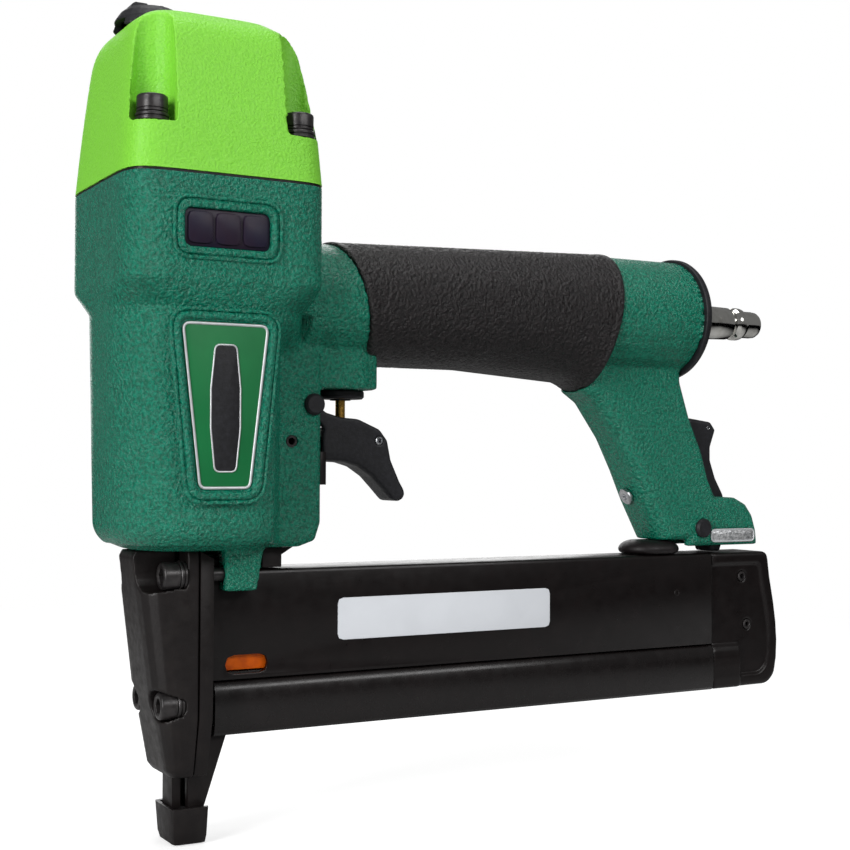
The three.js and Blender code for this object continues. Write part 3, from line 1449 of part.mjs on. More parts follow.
function footRing(z, taper) {
  const x = [taper - FOOT_FRONT, FOOT_REAR - taper / 2];
  return outlineRing(z, rounded(x, [taper - FOOT_HALF, FOOT_HALF - taper], FOOT_CORNER));
}

// Contact foot open to the rear, and the link that carries its travel round the feed to the trigger
function buildSafety() {
  const shoe = loft([footRing(0, FOOT_TAPER), footRing(FOOT_FLOOR, FOOT_TAPER / 2), footRing(FOOT_HEIGHT, 0)]);
  const inside = [FOOT_WALL - FOOT_FRONT, FOOT_REAR + OVERRUN];
  const foot = cut(
    shoe,
    midBlock(inside, GUSSET_HALF + 2 * GAP, [FOOT_FLOOR, FOOT_HEIGHT + OVERRUN]),
    midBlock([-FOOT_SLOT_FRONT, FOOT_SLOT_LENGTH - FOOT_SLOT_FRONT], FOOT_SLOT_HALF, [-OVERRUN, FOOT_HEIGHT]),
  );
  piece("contact_foot", foot, "blackSteel");

  const stemX = [-STEM_PLATE_FRONT, STEM_PLATE_THICK - STEM_PLATE_FRONT];
  const flat = [linkLow, linkLow + LINK_THICK];
  const tabX = [tabFront, tabFront + TAB_THICK];
  const arms = SIDES.map((side) =>
    block([-STEM_PLATE_FRONT, YOKE_FRONT + SEAT], [side * LINK_ARM_INNER, side * LINK_ARM_OUTER], flat),
  );
  const bridge = outline([
    [YOKE_FRONT, linkLow],
    [YOKE_REAR, linkLow],
    [YOKE_REAR + LINK_THICK / 2, linkLow + LINK_THICK],
    [spineRear, yokeTop],
    [YOKE_FRONT, yokeTop],
  ]);
  const link = join(
    midBlock(stemX, STEM_PLATE_HALF, [FOOT_FLOOR + SEAT, flat[1]]),
    midBlock(stemX, LINK_ARM_OUTER, flat),
    ...arms,
    midBlock([YOKE_FRONT, YOKE_REAR], YOKE_HALF, [linkLow, yokeTop]),
    midPrism(bridge, SPINE_HALF),
    midBlock([spineFront, spineRear], SPINE_HALF, [yokeTop - SEAT, tabHigh]),
    midBlock([spineFront, tabX[1]], SPINE_HALF, [tabLow, tabHigh]),
    midBlock(tabX, TAB_HALF, [tabLow, tabHigh]),
  );
  piece("safety_link", link, "blackSteel");
  const inner = LINK_SPRING_RADIUS - LINK_SPRING_WIRE;
  const spring = tube("z", [LINK_SPRING_X, 0], inner, LINK_SPRING_RADIUS, yokeTop + GAP, linkSpringTop);
  piece("safety_spring", spring, "steel");
}

// Right half of the rail's section up to its ledge, and the neck above
const railShares = [
  [0.86, 0],
  [0.94, 0.05],
  [0.985, 0.2],
  [1, 0.45],
  [0.995, 0.62],
  [0.965, 0.73],
  [0.91, 0.81],
  [0.84, 0.855],
  [0.76, 0.87],
];
const neckShares = [
  [0.7, 0.87],
  [0.7, 1],
];
const endShares = [
  [0, 0],
  [0.85, 0.005, 0.16],
  [0.955, 0.075, 0.12],
  [0.992, 0.2, 0.12],
  [1, 0.33],
  [0.985, 0.47],
  [0.95, 0.62],
  [0.89, 0.81],
  [0.85, 1, 0.06],
  [0, 1],
];

function buildCover() {
  const section = outline([
    [-MAG_HALF, MAG_LOW],
    [MAG_HALF, MAG_LOW],
    [MAG_HALF, MAG_TOP, MAG_CORNER],
    [-MAG_HALF, MAG_TOP, MAG_CORNER],
  ]);
  const view = rounded([VIEW_FRONT, VIEW_FRONT + VIEW_LENGTH], [VIEW_LOW, VIEW_LOW + VIEW_HEIGHT], VIEW_HEIGHT / 2);
  const cover = cut(
    prism("x", section, MAG_FRONT, MAG_REAR),
    midBlock([0, MAG_REAR + OVERRUN], CAVITY_HALF, [MAG_LOW - OVERRUN, cavityTop]),
    midPrism(view, MAG_HALF + OVERRUN),
  );
  piece("magazine_cover", cover, "anodised");
  const labelX = [LABEL_FRONT, LABEL_FRONT + LABEL_LENGTH];
  const label = rounded(labelX, [LABEL_LOW, LABEL_LOW + LABEL_HEIGHT], LABEL_CORNER);
  piece("label_plate", sidePrism(NEAR, label, MAG_HALF + SEAT, MAG_HALF + SEAT + LABEL_THICK), "label");
}

// The rail's section from shares of its right half
function railSection(shares) {
  const right = shares.map(([half, rise]) => [half * RAIL_HALF, RAIL_LOW + rise * (RAIL_TOP - RAIL_LOW)]);
  const left = right.map(([y, z]) => [-y, z]).reverse();
  return outline([...right, ...left]);
}

// Sliding half of the magazine: rail with its blade, end cap and pins, pusher and spring
function buildSlider() {
  const rail = join(
    prism("x", railSection([...railShares, ...neckShares]), RAIL_FRONT, MAG_REAR + SEAT),
    midBlock([RAIL_FRONT, BLADE_REAR], BLADE_HALF, [RAIL_TOP - SEAT, bladeTop]),
  );
  const pins = {
    upper: [HIGH_PIN_X, highPinZ],
    lower: [LOW_PIN_X, LOW_PIN_Z],
  };
  const pinBores = Object.values(pins).map((at) => crossBore(at, END_PIN_RADIUS + SEAT, MAG_HALF));
  piece("magazine_rail", cut(rail, ...pinBores), "anodised");

  const height = MAG_TOP - RAIL_LOW;
  const panelBox = [END_FRONT - OVERRUN, RAIL_LOW + END_RIM, END_LENGTH + OVERRUN - END_RIM, height - 2 * END_RIM];
  const panel = framed(panelBox, endShares);
  const panels = SIDES.map((side) => {
    const [inner, outer] = [side * (MAG_HALF - END_RECESS), side * (MAG_HALF + OVERRUN)];
    return prism("y", panel, Math.min(inner, outer), Math.max(inner, outer), 0, FINE_STEPS);
  });
  const bladeZ = [RAIL_TOP - 2 * SEAT, bladeTop + SEAT];
  const panelled = cut(
    midPrism(framed([END_FRONT, RAIL_LOW, END_LENGTH, height], endShares), MAG_HALF, END_ROUND, FINE_STEPS),
    ...panels,
  );
  const endCap = cut(
    panelled.add(prism("x", railSection(railShares), END_FRONT, END_FRONT + END_BULGE)),
    midBlock([END_FRONT - OVERRUN, BLADE_REAR + GAP], BLADE_HALF + SEAT, bladeZ),
    ...pinBores,
  );
  piece("magazine_end_cap", endCap, "anodised");
  const pinHalf = MAG_HALF - END_RECESS + GAP;
  for (const [word, at] of Object.entries(pins)) {
    piece(`end_cap_pin_${word}`, rod("y", at, END_PIN_RADIUS, -pinHalf, pinHalf, SMALL_SIDES), "screw");
  }

  const pusherX = [PUSHER_FRONT, PUSHER_FRONT + PUSHER_LENGTH];
  const bladeRoom = midBlock([0, pusherX[1] + OVERRUN], BLADE_HALF + GAP, [0, bladeTop + GAP]);
  piece("pusher", cut(midBlock(pusherX, PUSHER_HALF, [PUSHER_LOW, pusherTop]), bladeRoom), "orange");
  const spring = rod("x", [SPRING_Y, SPRING_Z], SPRING_RADIUS, pusherX[1] + GAP, MAG_REAR, SMALL_SIDES);
  piece("pusher_spring", spring, "steel");
}

const latchBox = [latchPivotX - LATCH_FRONT_AHEAD, latchLow, LATCH_LENGTH, LATCH_HEIGHT];
const latchShares = [
  [0.037, 1, 0.03],
  [0.62, 0.97, 0.03],
  [0.738, 0.91],
  [0.615, 0.78],
  [0.615, 0.682],
  [0.738, 0.548],
  [0.92, 0.427],
  [1, 0.299],
  [0.92, 0.086],
  [0.84, 0],
  [0.652, 0],
  [0.572, 0.0755],
  [0.225, 0.084],
  [0, 0.139],
  [0, 0.235],
  [0.171, 0.405],
  [0.091, 0.639],
];

// Latch lever with its spring and pin, and the small parts on and under the strut
function buildStrutParts() {
  const pocketHalf = LATCH_SPRING_HALF + GAP;
  const lever = cut(
    midPrism(framed(latchBox, latchShares), LATCH_HALF, LATCH_ROUND),
    crossBore(latchPivot, LATCH_PIN_RADIUS + GAP, LATCH_HALF),
    rod("y", latchPivot, LATCH_SPRING_RADIUS + GAP, -pocketHalf, pocketHalf),
  );
  piece("latch_lever", lever, "plastic");
  const springInner = LATCH_PIN_RADIUS + SEAT;
  const spring = tube("y", latchPivot, springInner, LATCH_SPRING_RADIUS, -LATCH_SPRING_HALF, LATCH_SPRING_HALF);
  piece("latch_spring", spring, "steel");
  pinAndClip("latch_pin", latchPivot, LATCH_PIN_RADIUS, LATCH_PIN_HEAD, STRUT_HALF);

  const plateSeat = STRUT_HALF - PLATE_THICK + SEAT;
  piece("strut_plate", sidePrism(NEAR, plateShape(0), plateSeat, plateSeat + PLATE_THICK), "steel");
  const padRear = alongStrut(PAD_REAR_SHARE);
  const pad = rounded([padRear - PAD_LENGTH, padRear], [-PAD_HALF, PAD_HALF], PAD_HALF);
  piece("magazine_pad", prism("z", pad, MAG_TOP + SEAT, padTop, PAD_ROUND), "rubber");
  const screw = screwProfile(
    [STRUT_SCREW_RADIUS, STRUT_SCREW_LENGTH],
    [STRUT_SCREW_HEAD_RADIUS, STRUT_SCREW_HEAD],
    [STRUT_SCREW_SOCKET_RADIUS, STRUT_SCREW_SOCKET],
    0,
  );
  piece("strut_screw", turnedOnStrut(screw.map(([r, place]) => [r, GAP - SEAT - place])), "steel");
}

buildHead();
buildDeflector();
buildSidePlates();
buildCylinder();
buildPiston();
buildHeadValve();
buildHandle();
buildTrigger();
buildValve();
buildNose();
buildSafety();
buildCover();
buildSlider();
buildStrutParts();

export default tool;
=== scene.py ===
"""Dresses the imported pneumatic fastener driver: skins, turned parts, coils, finishes and the stage."""
import json
import math

import bmesh
import bpy
from mathutils import Matrix, Vector, noise
from mathutils.bvhtree import BVHTree


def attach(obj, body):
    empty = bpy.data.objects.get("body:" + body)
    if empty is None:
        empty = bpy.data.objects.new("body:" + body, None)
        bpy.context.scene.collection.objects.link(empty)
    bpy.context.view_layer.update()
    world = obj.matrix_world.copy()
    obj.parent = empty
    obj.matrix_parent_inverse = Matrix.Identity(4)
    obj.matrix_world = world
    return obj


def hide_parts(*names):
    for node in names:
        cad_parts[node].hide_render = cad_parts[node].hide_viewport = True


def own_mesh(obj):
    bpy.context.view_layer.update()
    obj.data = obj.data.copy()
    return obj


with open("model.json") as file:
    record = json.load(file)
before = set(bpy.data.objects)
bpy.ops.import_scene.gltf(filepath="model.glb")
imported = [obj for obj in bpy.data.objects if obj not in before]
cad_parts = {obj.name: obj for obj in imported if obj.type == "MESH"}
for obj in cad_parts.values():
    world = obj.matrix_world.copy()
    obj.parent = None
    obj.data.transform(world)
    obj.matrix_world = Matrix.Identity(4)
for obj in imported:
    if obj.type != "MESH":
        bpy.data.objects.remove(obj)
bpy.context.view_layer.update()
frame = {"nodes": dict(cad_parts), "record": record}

MM = 0.001
NODES = frame["nodes"]
BODY_OF = {n: body for body, ns in frame["record"]["behaviour"]["bodies"].items() for n in ns}
SLOT_OF = {s["node"]: s["material_slot"] for s in frame["record"]["subparts"]}
SIDES = (-1, 1)
ROUND, PIN_ROUND, DISC_ROUND, BEAD_ROUND = 64, 40, 96, 8
SMOOTH_ANGLE, GRAIN_ANGLE, BEAD_ANGLE = math.radians(38), math.radians(70), math.radians(80)
BEVEL_ANGLE, BEVEL_SEGMENTS = math.radians(28), 2
FLAT_ANGLE, WELD = math.radians(0.6), 2e-6
SOFT_FACTOR = 0.5
TIP = 0.05  # radius of the last ring where a turned piece closes, mm
WHITE = (1, 1, 1, 1)

# ---- finishes ----------------------------------------------------------------


def linear(red, green, blue):
    """Screen colour 0-255 as linear light."""
    def one(value):
        v = value / 255
        return v / 12.92 if v <= 0.04045 else ((v + 0.055) / 1.055) ** 2.4
    return (one(red), one(green), one(blue))


EVEN = (1, 1, 1)
ALONG_X = (0.08, 1, 1)
NOISE_DETAIL, NOISE_ROUGHNESS = 3, 0.55
NOISE_RANGE = (0.3, 0.7)


def map_range(tree, source, *numbers):
    """A node that maps the source from one range to another: from least, from most, to least, to most."""
    made = tree.nodes.new("ShaderNodeMapRange")
    for socket, value in zip(("From Min", "From Max", "To Min", "To Max"), numbers):
        made.inputs[socket].default_value = value
    tree.links.new(source, made.inputs["Value"])
    return made


def finish_of(name, colour, rough, metal=0.0, *, tone_and_painted_shade, bumps, rough_noise, **sockets):
    """A procedural finish. tone_and_painted_shade is (colour, scale, low, high), a second colour laid in by
    noise: a random tone in most finishes; where its scale is that of a bump and the first colour is the
    darker, it is painted shade in the bumps' hollows, with lighter crests. bumps are (scale, strength, depth
    in mm, stretch); rough_noise is (scale, least, most). The plain colour and rough stand for them where
    only plain values are kept."""
    material = bpy.data.materials.new(name)
    material.use_nodes = True
    tree = material.node_tree
    nodes, links = tree.nodes, tree.links
    shader = nodes["Principled BSDF"]
    shader.inputs["Base Color"].default_value = (*colour, 1)
    shader.inputs["Roughness"].default_value = rough
    shader.inputs["Metallic"].default_value = metal
    for socket, value in sockets.items():
        shader.inputs[socket.replace("_", " ")].default_value = value
    place = nodes.new("ShaderNodeTexCoord").outputs["Object"]

    def speckle(scale, stretch=EVEN):
        mapping = nodes.new("ShaderNodeMapping")
        mapping.inputs["Scale"].default_value = stretch
        links.new(place, mapping.inputs["Vector"])
        made = nodes.new("ShaderNodeTexNoise")
        made.inputs["Detail"].default_value = NOISE_DETAIL
        made.inputs["Roughness"].default_value = NOISE_ROUGHNESS
        made.inputs["Scale"].default_value = scale
        links.new(mapping.outputs["Vector"], made.inputs["Vector"])
        return made.outputs[0]

    # With a bump's scale this noise is the bump's own height, so the colour ramp paints shade into the
    # hollows.
    other, scale, low, high = tone_and_painted_shade
    ramp = nodes.new("ShaderNodeValToRGB")
    ramp.color_ramp.elements[0].position = low
    ramp.color_ramp.elements[1].position = high
    ramp.color_ramp.elements[0].color = (*colour, 1)
    ramp.color_ramp.elements[1].color = (*other, 1)
    links.new(speckle(scale), ramp.inputs["Fac"])
    links.new(ramp.outputs["Color"], shader.inputs["Base Color"])

    scale, least, most = rough_noise
    spread = map_range(tree, speckle(scale), *NOISE_RANGE, least, most)
    links.new(spread.outputs["Result"], shader.inputs["Roughness"])

    before = None
    for scale, strength, depth, stretch in bumps:
        bump = nodes.new("ShaderNodeBump")
        bump.inputs["Strength"].default_value = strength
        bump.inputs["Distance"].default_value = depth * MM
        links.new(speckle(scale, stretch), bump.inputs["Height"])
        if before:
            links.new(before, bump.inputs["Normal"])
        before = bump.outputs["Normal"]
    links.new(before, shader.inputs["Normal"])
    return material
FINISHES = {
    # Painted shade: the tone follows the big bumps' noise, so the hammer grain's hollows are painted darker
    # and its crests lighter.
    "casting": finish_of(
        "hammer_green", linear(0, 92, 71), 0.26,
        tone_and_painted_shade=(linear(2, 124, 98), 1100, 0.38, 0.62),
        bumps=[(1100, 1.0, 1.2, EVEN), (2300, 0.5, 0.12, EVEN)],
        rough_noise=(900, 0.16, 0.3), Specular_IOR_Level=0.45,
    ),
    # Painted shade: the tone follows the big bumps' noise, so the grain's hollows are painted darker and its
    # crests lighter.
    "lime_cap": finish_of(
        "satin_lime", linear(121, 202, 53), 0.46,
        tone_and_painted_shade=(linear(129, 209, 59), 1300, 0.34, 0.6),
        bumps=[(1300, 1.0, 0.34, EVEN), (2400, 0.3, 0.08, EVEN)],
        rough_noise=(500, 0.38, 0.52), Specular_IOR_Level=0.35,
    ),
    # Painted shade: the tone follows the big bumps' noise, so the grain's hollows are painted darker and its
    # crests lighter.
    "grip": finish_of(
        "grained_rubber", linear(10, 7, 8), 0.48,
        tone_and_painted_shade=(linear(28, 22, 23), 900, 0.38, 0.66),
        bumps=[(900, 1.0, 1.3, EVEN), (2200, 0.4, 0.1, EVEN)],
        rough_noise=(800, 0.36, 0.5), Specular_IOR_Level=0.4,
    ),
    "rubber": finish_of(
        "smooth_rubber", linear(18, 14, 15), 0.5,
        tone_and_painted_shade=(linear(26, 21, 22), 350, 0.4, 0.7),
        bumps=[(1300, 0.4, 0.12, EVEN)],
        rough_noise=(800, 0.4, 0.56), Specular_IOR_Level=0.28,
    ),
    "black_plastic": finish_of(
        "textured_black", linear(24, 24, 27), 0.5,
        tone_and_painted_shade=(linear(33, 33, 37), 900, 0.4, 0.7),
        bumps=[(1800, 0.5, 0.12, EVEN)],
        rough_noise=(1200, 0.42, 0.58), Specular_IOR_Level=0.28,
    ),
    "black_steel": finish_of(
        "black_oxide", linear(22, 18, 18), 0.4, 0.15,
        tone_and_painted_shade=(linear(31, 27, 26), 160, 0.45, 0.8),
        bumps=[(1500, 0.4, 0.1, EVEN)],
        rough_noise=(420, 0.34, 0.5), Specular_IOR_Level=0.3,
    ),
    "black_alloy": finish_of(
        "black_anodised", linear(14, 9, 9), 0.3, 0.1,
        tone_and_painted_shade=(linear(21, 15, 15), 120, 0.45, 0.8),
        bumps=[(1700, 0.22, 0.05, ALONG_X)],
        rough_noise=(260, 0.27, 0.37), Specular_IOR_Level=0.3,
    ),
    "screw_steel": finish_of(
        "screw_black", linear(52, 49, 49), 0.4, 0.35,
        tone_and_painted_shade=(linear(26, 24, 25), 500, 0.4, 0.7),
        bumps=[(2200, 0.3, 0.06, EVEN)],
        rough_noise=(900, 0.28, 0.44),
    ),
    "steel": finish_of(
        "bright_steel", linear(196, 197, 199), 0.26, 1.0,
        tone_and_painted_shade=(linear(168, 170, 174), 500, 0.4, 0.75),
        bumps=[(2400, 0.3, 0.06, EVEN)],
        rough_noise=(700, 0.2, 0.38),
    ),
    "stamped_steel": finish_of(
        "stamped_steel", linear(206, 207, 208), 0.42, 0.85,
        tone_and_painted_shade=(linear(156, 158, 160), 900, 0.42, 0.62),
        bumps=[(900, 0.9, 0.3, EVEN)],
        rough_noise=(700, 0.32, 0.5),
    ),
    "silver_line": finish_of(
        "silver_line", linear(206, 208, 210), 0.42, 0.6,
        tone_and_painted_shade=(linear(190, 192, 195), 300, 0.4, 0.7),
        bumps=[(900, 0.06, 0.03, EVEN)],
        rough_noise=(300, 0.38, 0.48),
    ),
    "plug_steel": finish_of(
        "nickel", linear(214, 213, 208), 0.12, 1.0,
        tone_and_painted_shade=(linear(186, 184, 178), 300, 0.45, 0.8),
        bumps=[(900, 0.1, 0.04, EVEN)],
        rough_noise=(500, 0.07, 0.17),
    ),
    "brass": finish_of(
        "turned_brass", linear(206, 160, 78), 0.26, 1.0,
        tone_and_painted_shade=(linear(168, 124, 52), 500, 0.4, 0.75),
        bumps=[(2600, 0.2, 0.05, EVEN)],
        rough_noise=(700, 0.2, 0.36),
    ),
    "window": finish_of(
        "dark_window", linear(27, 23, 42), 0.4,
        tone_and_painted_shade=(linear(38, 25, 38), 70, 0.4, 0.65),
        bumps=[(900, 0.25, 0.06, EVEN)],
        rough_noise=(260, 0.36, 0.48), Specular_IOR_Level=0.22,
    ),
    "badge": finish_of(
        "badge_enamel", linear(22, 110, 60), 0.3,
        tone_and_painted_shade=(linear(18, 100, 54), 60, 0.35, 0.7),
        bumps=[(700, 0.08, 0.05, EVEN)],
        rough_noise=(240, 0.34, 0.46), Specular_IOR_Level=0.22,
    ),
    "label": finish_of(
        "label_film", linear(214, 217, 222), 0.45,
        tone_and_painted_shade=(linear(210, 213, 218), 80, 0.4, 0.7),
        bumps=[(1200, 0.08, 0.04, EVEN)],
        rough_noise=(300, 0.4, 0.52), Specular_IOR_Level=0.3,
    ),
    "orange": finish_of(
        "orange_plastic", linear(214, 94, 4), 0.45,
        tone_and_painted_shade=(linear(186, 74, 9), 300, 0.4, 0.7),
        bumps=[(1500, 0.2, 0.06, EVEN)],
        rough_noise=(500, 0.4, 0.54), Specular_IOR_Level=0.2,
    ),
    "rail_alloy": finish_of(
        "gloss_black", linear(16, 12, 12), 0.24, 0.1,
        tone_and_painted_shade=(linear(22, 17, 17), 120, 0.45, 0.8),
        bumps=[(1700, 0.18, 0.04, ALONG_X)],
        rough_noise=(260, 0.22, 0.32), Specular_IOR_Level=0.42,
    ),
    "amber": finish_of(
        "amber_urethane", linear(186, 136, 56), 0.5,
        tone_and_painted_shade=(linear(166, 116, 42), 200, 0.4, 0.7),
        bumps=[(900, 0.2, 0.08, EVEN)],
        rough_noise=(400, 0.42, 0.58),
    ),
}

# ---- making and placing meshes -----------------------------------------------


def settle(obj):
    """Turns the piece's modifiers into plain mesh."""
    graph = bpy.context.evaluated_depsgraph_get()
    mesh = bpy.data.meshes.new_from_object(obj.evaluated_get(graph))
    obj.modifiers.clear()
    obj.data = mesh
    return obj


def shade(obj, angle=SMOOTH_ANGLE):
    """Smooth faces, with creases sharper than the angle kept."""
    mesh = bmesh.new()
    mesh.from_mesh(obj.data)
    for face in mesh.faces:
        face.smooth = True
    for edge in mesh.edges:
        edge.smooth = len(edge.link_faces) != 2 or edge.calc_face_angle(0) < angle
    mesh.to_mesh(obj.data)
    mesh.free()
    return obj


def dress(obj, node, *more, look=None):
    """Rides with the node's body, takes its slot and finish, and stands for it and the other nodes."""
    obj.data.materials.clear()
    obj.data.materials.append(FINISHES[look or SLOT_OF[node]])
    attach(obj, BODY_OF[node])
    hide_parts(node, *more)
    return obj


def add_trim(obj, body, finish, look=None):
    """A piece that stands for no node."""
    obj.data.materials.clear()
    obj.data.materials.append(FINISHES[look or finish])
    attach(obj, body)
    return obj


def new_object(name, mesh):
    data = bpy.data.meshes.new(name)
    bmesh.ops.recalc_face_normals(mesh, faces=mesh.faces)
    mesh.to_mesh(data)
    mesh.free()
    obj = bpy.data.objects.new(name, data)
    bpy.context.scene.collection.objects.link(obj)
    return obj


def copy_of(node):
    """The node's mesh in an object of its own, welded and with its flat faces whole."""
    mesh = bmesh.new()
    mesh.from_mesh(NODES[node].data)
    bmesh.ops.remove_doubles(mesh, verts=mesh.verts, dist=WELD)
    bmesh.ops.dissolve_limit(mesh, angle_limit=FLAT_ANGLE, verts=mesh.verts, edges=mesh.edges)
    return new_object(node + "_skin", mesh)


def bevelled(node, width, look=None):
    """The node with its edges rounded, dressed. The width is in millimetres."""
    obj = copy_of(node)
    bevel = obj.modifiers.new("edges", "BEVEL")
    bevel.width = width * MM
    bevel.segments = BEVEL_SEGMENTS
    bevel.limit_method = "ANGLE"
    bevel.angle_limit = BEVEL_ANGLE
    bevel.use_clamp_overlap = True
    settle(obj)
    return dress(shade(obj), node, look=look)


def cast(node, voxel, rounds):
    """The node as a casting: rebuilt in an even grid of `voxel` millimetres and smoothed `rounds` times, so
    that edges and corners get fillets."""
    obj = copy_of(node)
    grid = obj.modifiers.new("grid", "REMESH")
    grid.mode = "VOXEL"
    grid.voxel_size = voxel * MM
    soft = obj.modifiers.new("soft", "SMOOTH")
    soft.factor = SOFT_FACTOR
    soft.iterations = rounds
    settle(obj)
    for polygon in obj.data.polygons:
        polygon.use_smooth = True
    return obj


def move_points(obj, move):
    """Moves every point by a rule that takes and returns millimetres."""
    for vertex in obj.data.vertices:
        x, y, z = (c / MM for c in vertex.co)
        found = move(x, y, z)
        if found:
            vertex.co = [c * MM for c in found]


def placed(axis, at, turn=1):
    """Takes (u, v, height) to the frame: height along the axis, (u, v) across it from the point `at`."""
    a, b = at
    return {
        "z": lambda u, v, h: Vector((a + u, b + v, turn * h)) * MM,
        "x": lambda u, v, h: Vector((turn * h, a + u, b + v)) * MM,
        "y": lambda u, v, h: Vector((a + u, turn * h, b + v)) * MM,
    }[axis]


def ring_object(name, rings, closed=False, angle=SMOOTH_ANGLE):
    """An object of rings of points joined with faces: with closed ends, or with its last ring joined to its
    first."""
    mesh = bmesh.new()
    made = [[mesh.verts.new(p) for p in ring] for ring in rings]
    following = made[1:] + made[:1] if closed else made[1:]
    for low, high in zip(made, following):
        for i in range(len(low)):
            j = (i + 1) % len(low)
            mesh.faces.new((low[i], low[j], high[j], high[i]))
    for ring in () if closed else (made[0], made[-1]):
        middle = mesh.verts.new(sum((v.co for v in ring), Vector()) / len(ring))
        for i in range(len(ring)):
            mesh.faces.new((ring[i], ring[(i + 1) % len(ring)], middle))
    return shade(new_object(name, mesh), angle)


def circle(to_frame, radius, height, sides=ROUND, corners=0):
    """A ring at a height: round, or with so many corners, each at the radius, and flats between them."""
    points = []
    for i in range(sides):
        angle = 2 * math.pi * i / sides
        reach = radius
        if corners:
            step = 2 * math.pi / corners
            reach = radius * math.cos(step / 2) / math.cos((angle % step) - step / 2)
        points.append(to_frame(reach * math.cos(angle), reach * math.sin(angle), height))
    return points


def turned(name, axis, at, profile, turn=1, sides=ROUND, bore=False):
    """A turned piece from (radius, height) pairs. With a bore the profile is closed on itself."""
    to_frame = placed(axis, at, turn)
    return ring_object(name, [circle(to_frame, r, h, sides) for r, h in profile], closed=bore)


def joined(name, objects):
    """Several pieces as one object."""
    mesh = bmesh.new()
    for obj in objects:
        mesh.from_mesh(obj.data)
        bpy.data.objects.remove(obj)
    return shade(new_object(name, mesh))


SCREW_CUT = 0.3  # edge under the head, and size of a turned groove
SCREW_CROWN = ((0, 0.7), (0.12, 0.35), (0.4, 0.1), (0.75, 0))  # (in from the rim, down from the top)
SOCKET_MOUTH = 1.16  # round chamfer, as a share of the socket's radius
SOCKET_RIM = ((1.1, 0.15), (1, 0.35))  # (share of the socket's radius, down from the top)


def socket_screw(name, axis, at, turn, shank, head, socket, lift, start, grooves=()):
    """A smooth-headed screw with a six-sided socket. shank is its radius, head is (radius, height) and
    socket is (radius to a corner, depth). lift is the height of the head's seat and start that of the
    shank's end. grooves are heights of turned grooves over the seat."""
    to_frame = placed(axis, at, turn)
    radius, cut = head[0], SCREW_CUT
    top = lift + head[1]
    skin = [(shank, lift), (radius - cut, lift), (radius, lift + cut)]
    for height in grooves:
        low = lift + height
        skin += [(radius, low), (radius - cut, low + cut / 2)]
        skin += [(radius - cut, low + cut), (radius, low + 1.5 * cut)]
    skin += [(radius - inset, top - down) for inset, down in SCREW_CROWN]
    skin.append((socket[0] * SOCKET_MOUTH, top))
    rings = [circle(to_frame, r, h) for r, h in [(TIP, start), (shank, start)] + skin]
    rings += [circle(to_frame, socket[0] * share, top - down, corners=6) for share, down in SOCKET_RIM]
    rings.append(circle(to_frame, socket[0], top - socket[1], corners=6))
    return ring_object(name, rings)


WASHER_EDGE = (0.2, 0.22)  # in from the rim, up from the face
WASHER_GROOVE = (0.4, 0.3, 0.1)  # depth, half width at the rim and at the floor


def washer_pair(name, axis, at, turn, inner, outer, low, high):
    """Two washers as one ring, with rounded rims and a groove where they meet."""
    mid = (low + high) / 2
    inset, up = WASHER_EDGE
    deep, mouth, floor = WASHER_GROOVE
    profile = [
        (inner, low), (outer - inset, low), (outer, low + up),
        (outer, mid - mouth), (outer - deep, mid - floor), (outer - deep, mid + floor), (outer, mid + mouth),
        (outer, high - up), (outer - inset, high), (inner, high),
    ]
    return turned(name, axis, at, profile, turn, bore=True)


COIL_STEPS = 20  # rings of a spring's wire in each of its turns


def coil(name, axis, at, radius, wire, low, high, turns):
    """A wound spring: a wire of that radius along a helix, from height low to high."""
    to_frame = placed(axis, at)
    steps = int(turns * COIL_STEPS)
    rings = []
    for i in range(steps + 1):
        share = i / steps
        angle = 2 * math.pi * turns * share
        height = low + wire + (high - low - 2 * wire) * share
        ring = []
        for k in range(BEAD_ROUND):
            turn = 2 * math.pi * k / BEAD_ROUND
            reach = radius - wire + wire * math.cos(turn)
            up = height + wire * math.sin(turn)
            ring.append(to_frame(reach * math.cos(angle), reach * math.sin(angle), up))
        rings.append(ring)
    return ring_object(name, rings, angle=BEAD_ANGLE)


def spline(table, x):
    """Smooth value between the rows (x, value, ...) of a table, as a list of the values."""
    if x <= table[0][0]:
        return list(table[0][1:])
    for i in range(len(table) - 1):
        (x0, *a), (x1, *b) = table[i], table[i + 1]
        if x <= x1:
            before = table[max(i - 1, 0)]
            after = table[min(i + 2, len(table) - 1)]
            t = (x - x0) / (x1 - x0)
            made = []
            for k in range(len(a)):
                slope_a = (b[k] - before[k + 1]) / (x1 - before[0]) * (x1 - x0) if x1 > before[0] else 0
                slope_b = (after[k + 1] - a[k]) / (after[0] - x0) * (x1 - x0)
                made.append(
                    (2 * t**3 - 3 * t**2 + 1) * a[k] + (t**3 - 2 * t**2 + t) * slope_a
                    + (3 * t**2 - 2 * t**3) * b[k] + (t**3 - t**2) * slope_b
                )
            return made
    return list(table[-1][1:])


# ---- housing and cap -----------------------------------------------------------
# Lengths are in millimetres. A squarish section has a power: 2 is an ellipse, more is squarer.

BODY_X = 1.0
COLLAR = (29.7, 30.8, 7.5)  # half length, half width, power
COLLAR_LOW, COLLAR_RIM, COLLAR_TOP = 159.5, 185.6, 187.2
BARREL = ((92, 27.8, 2.6), (151.5, 28.6, 3))  # height, radius, power
BARREL_BOTTOM, BARREL_EDGE = 84, 8
BARREL_LOW = BARREL_BOTTOM + 0.3
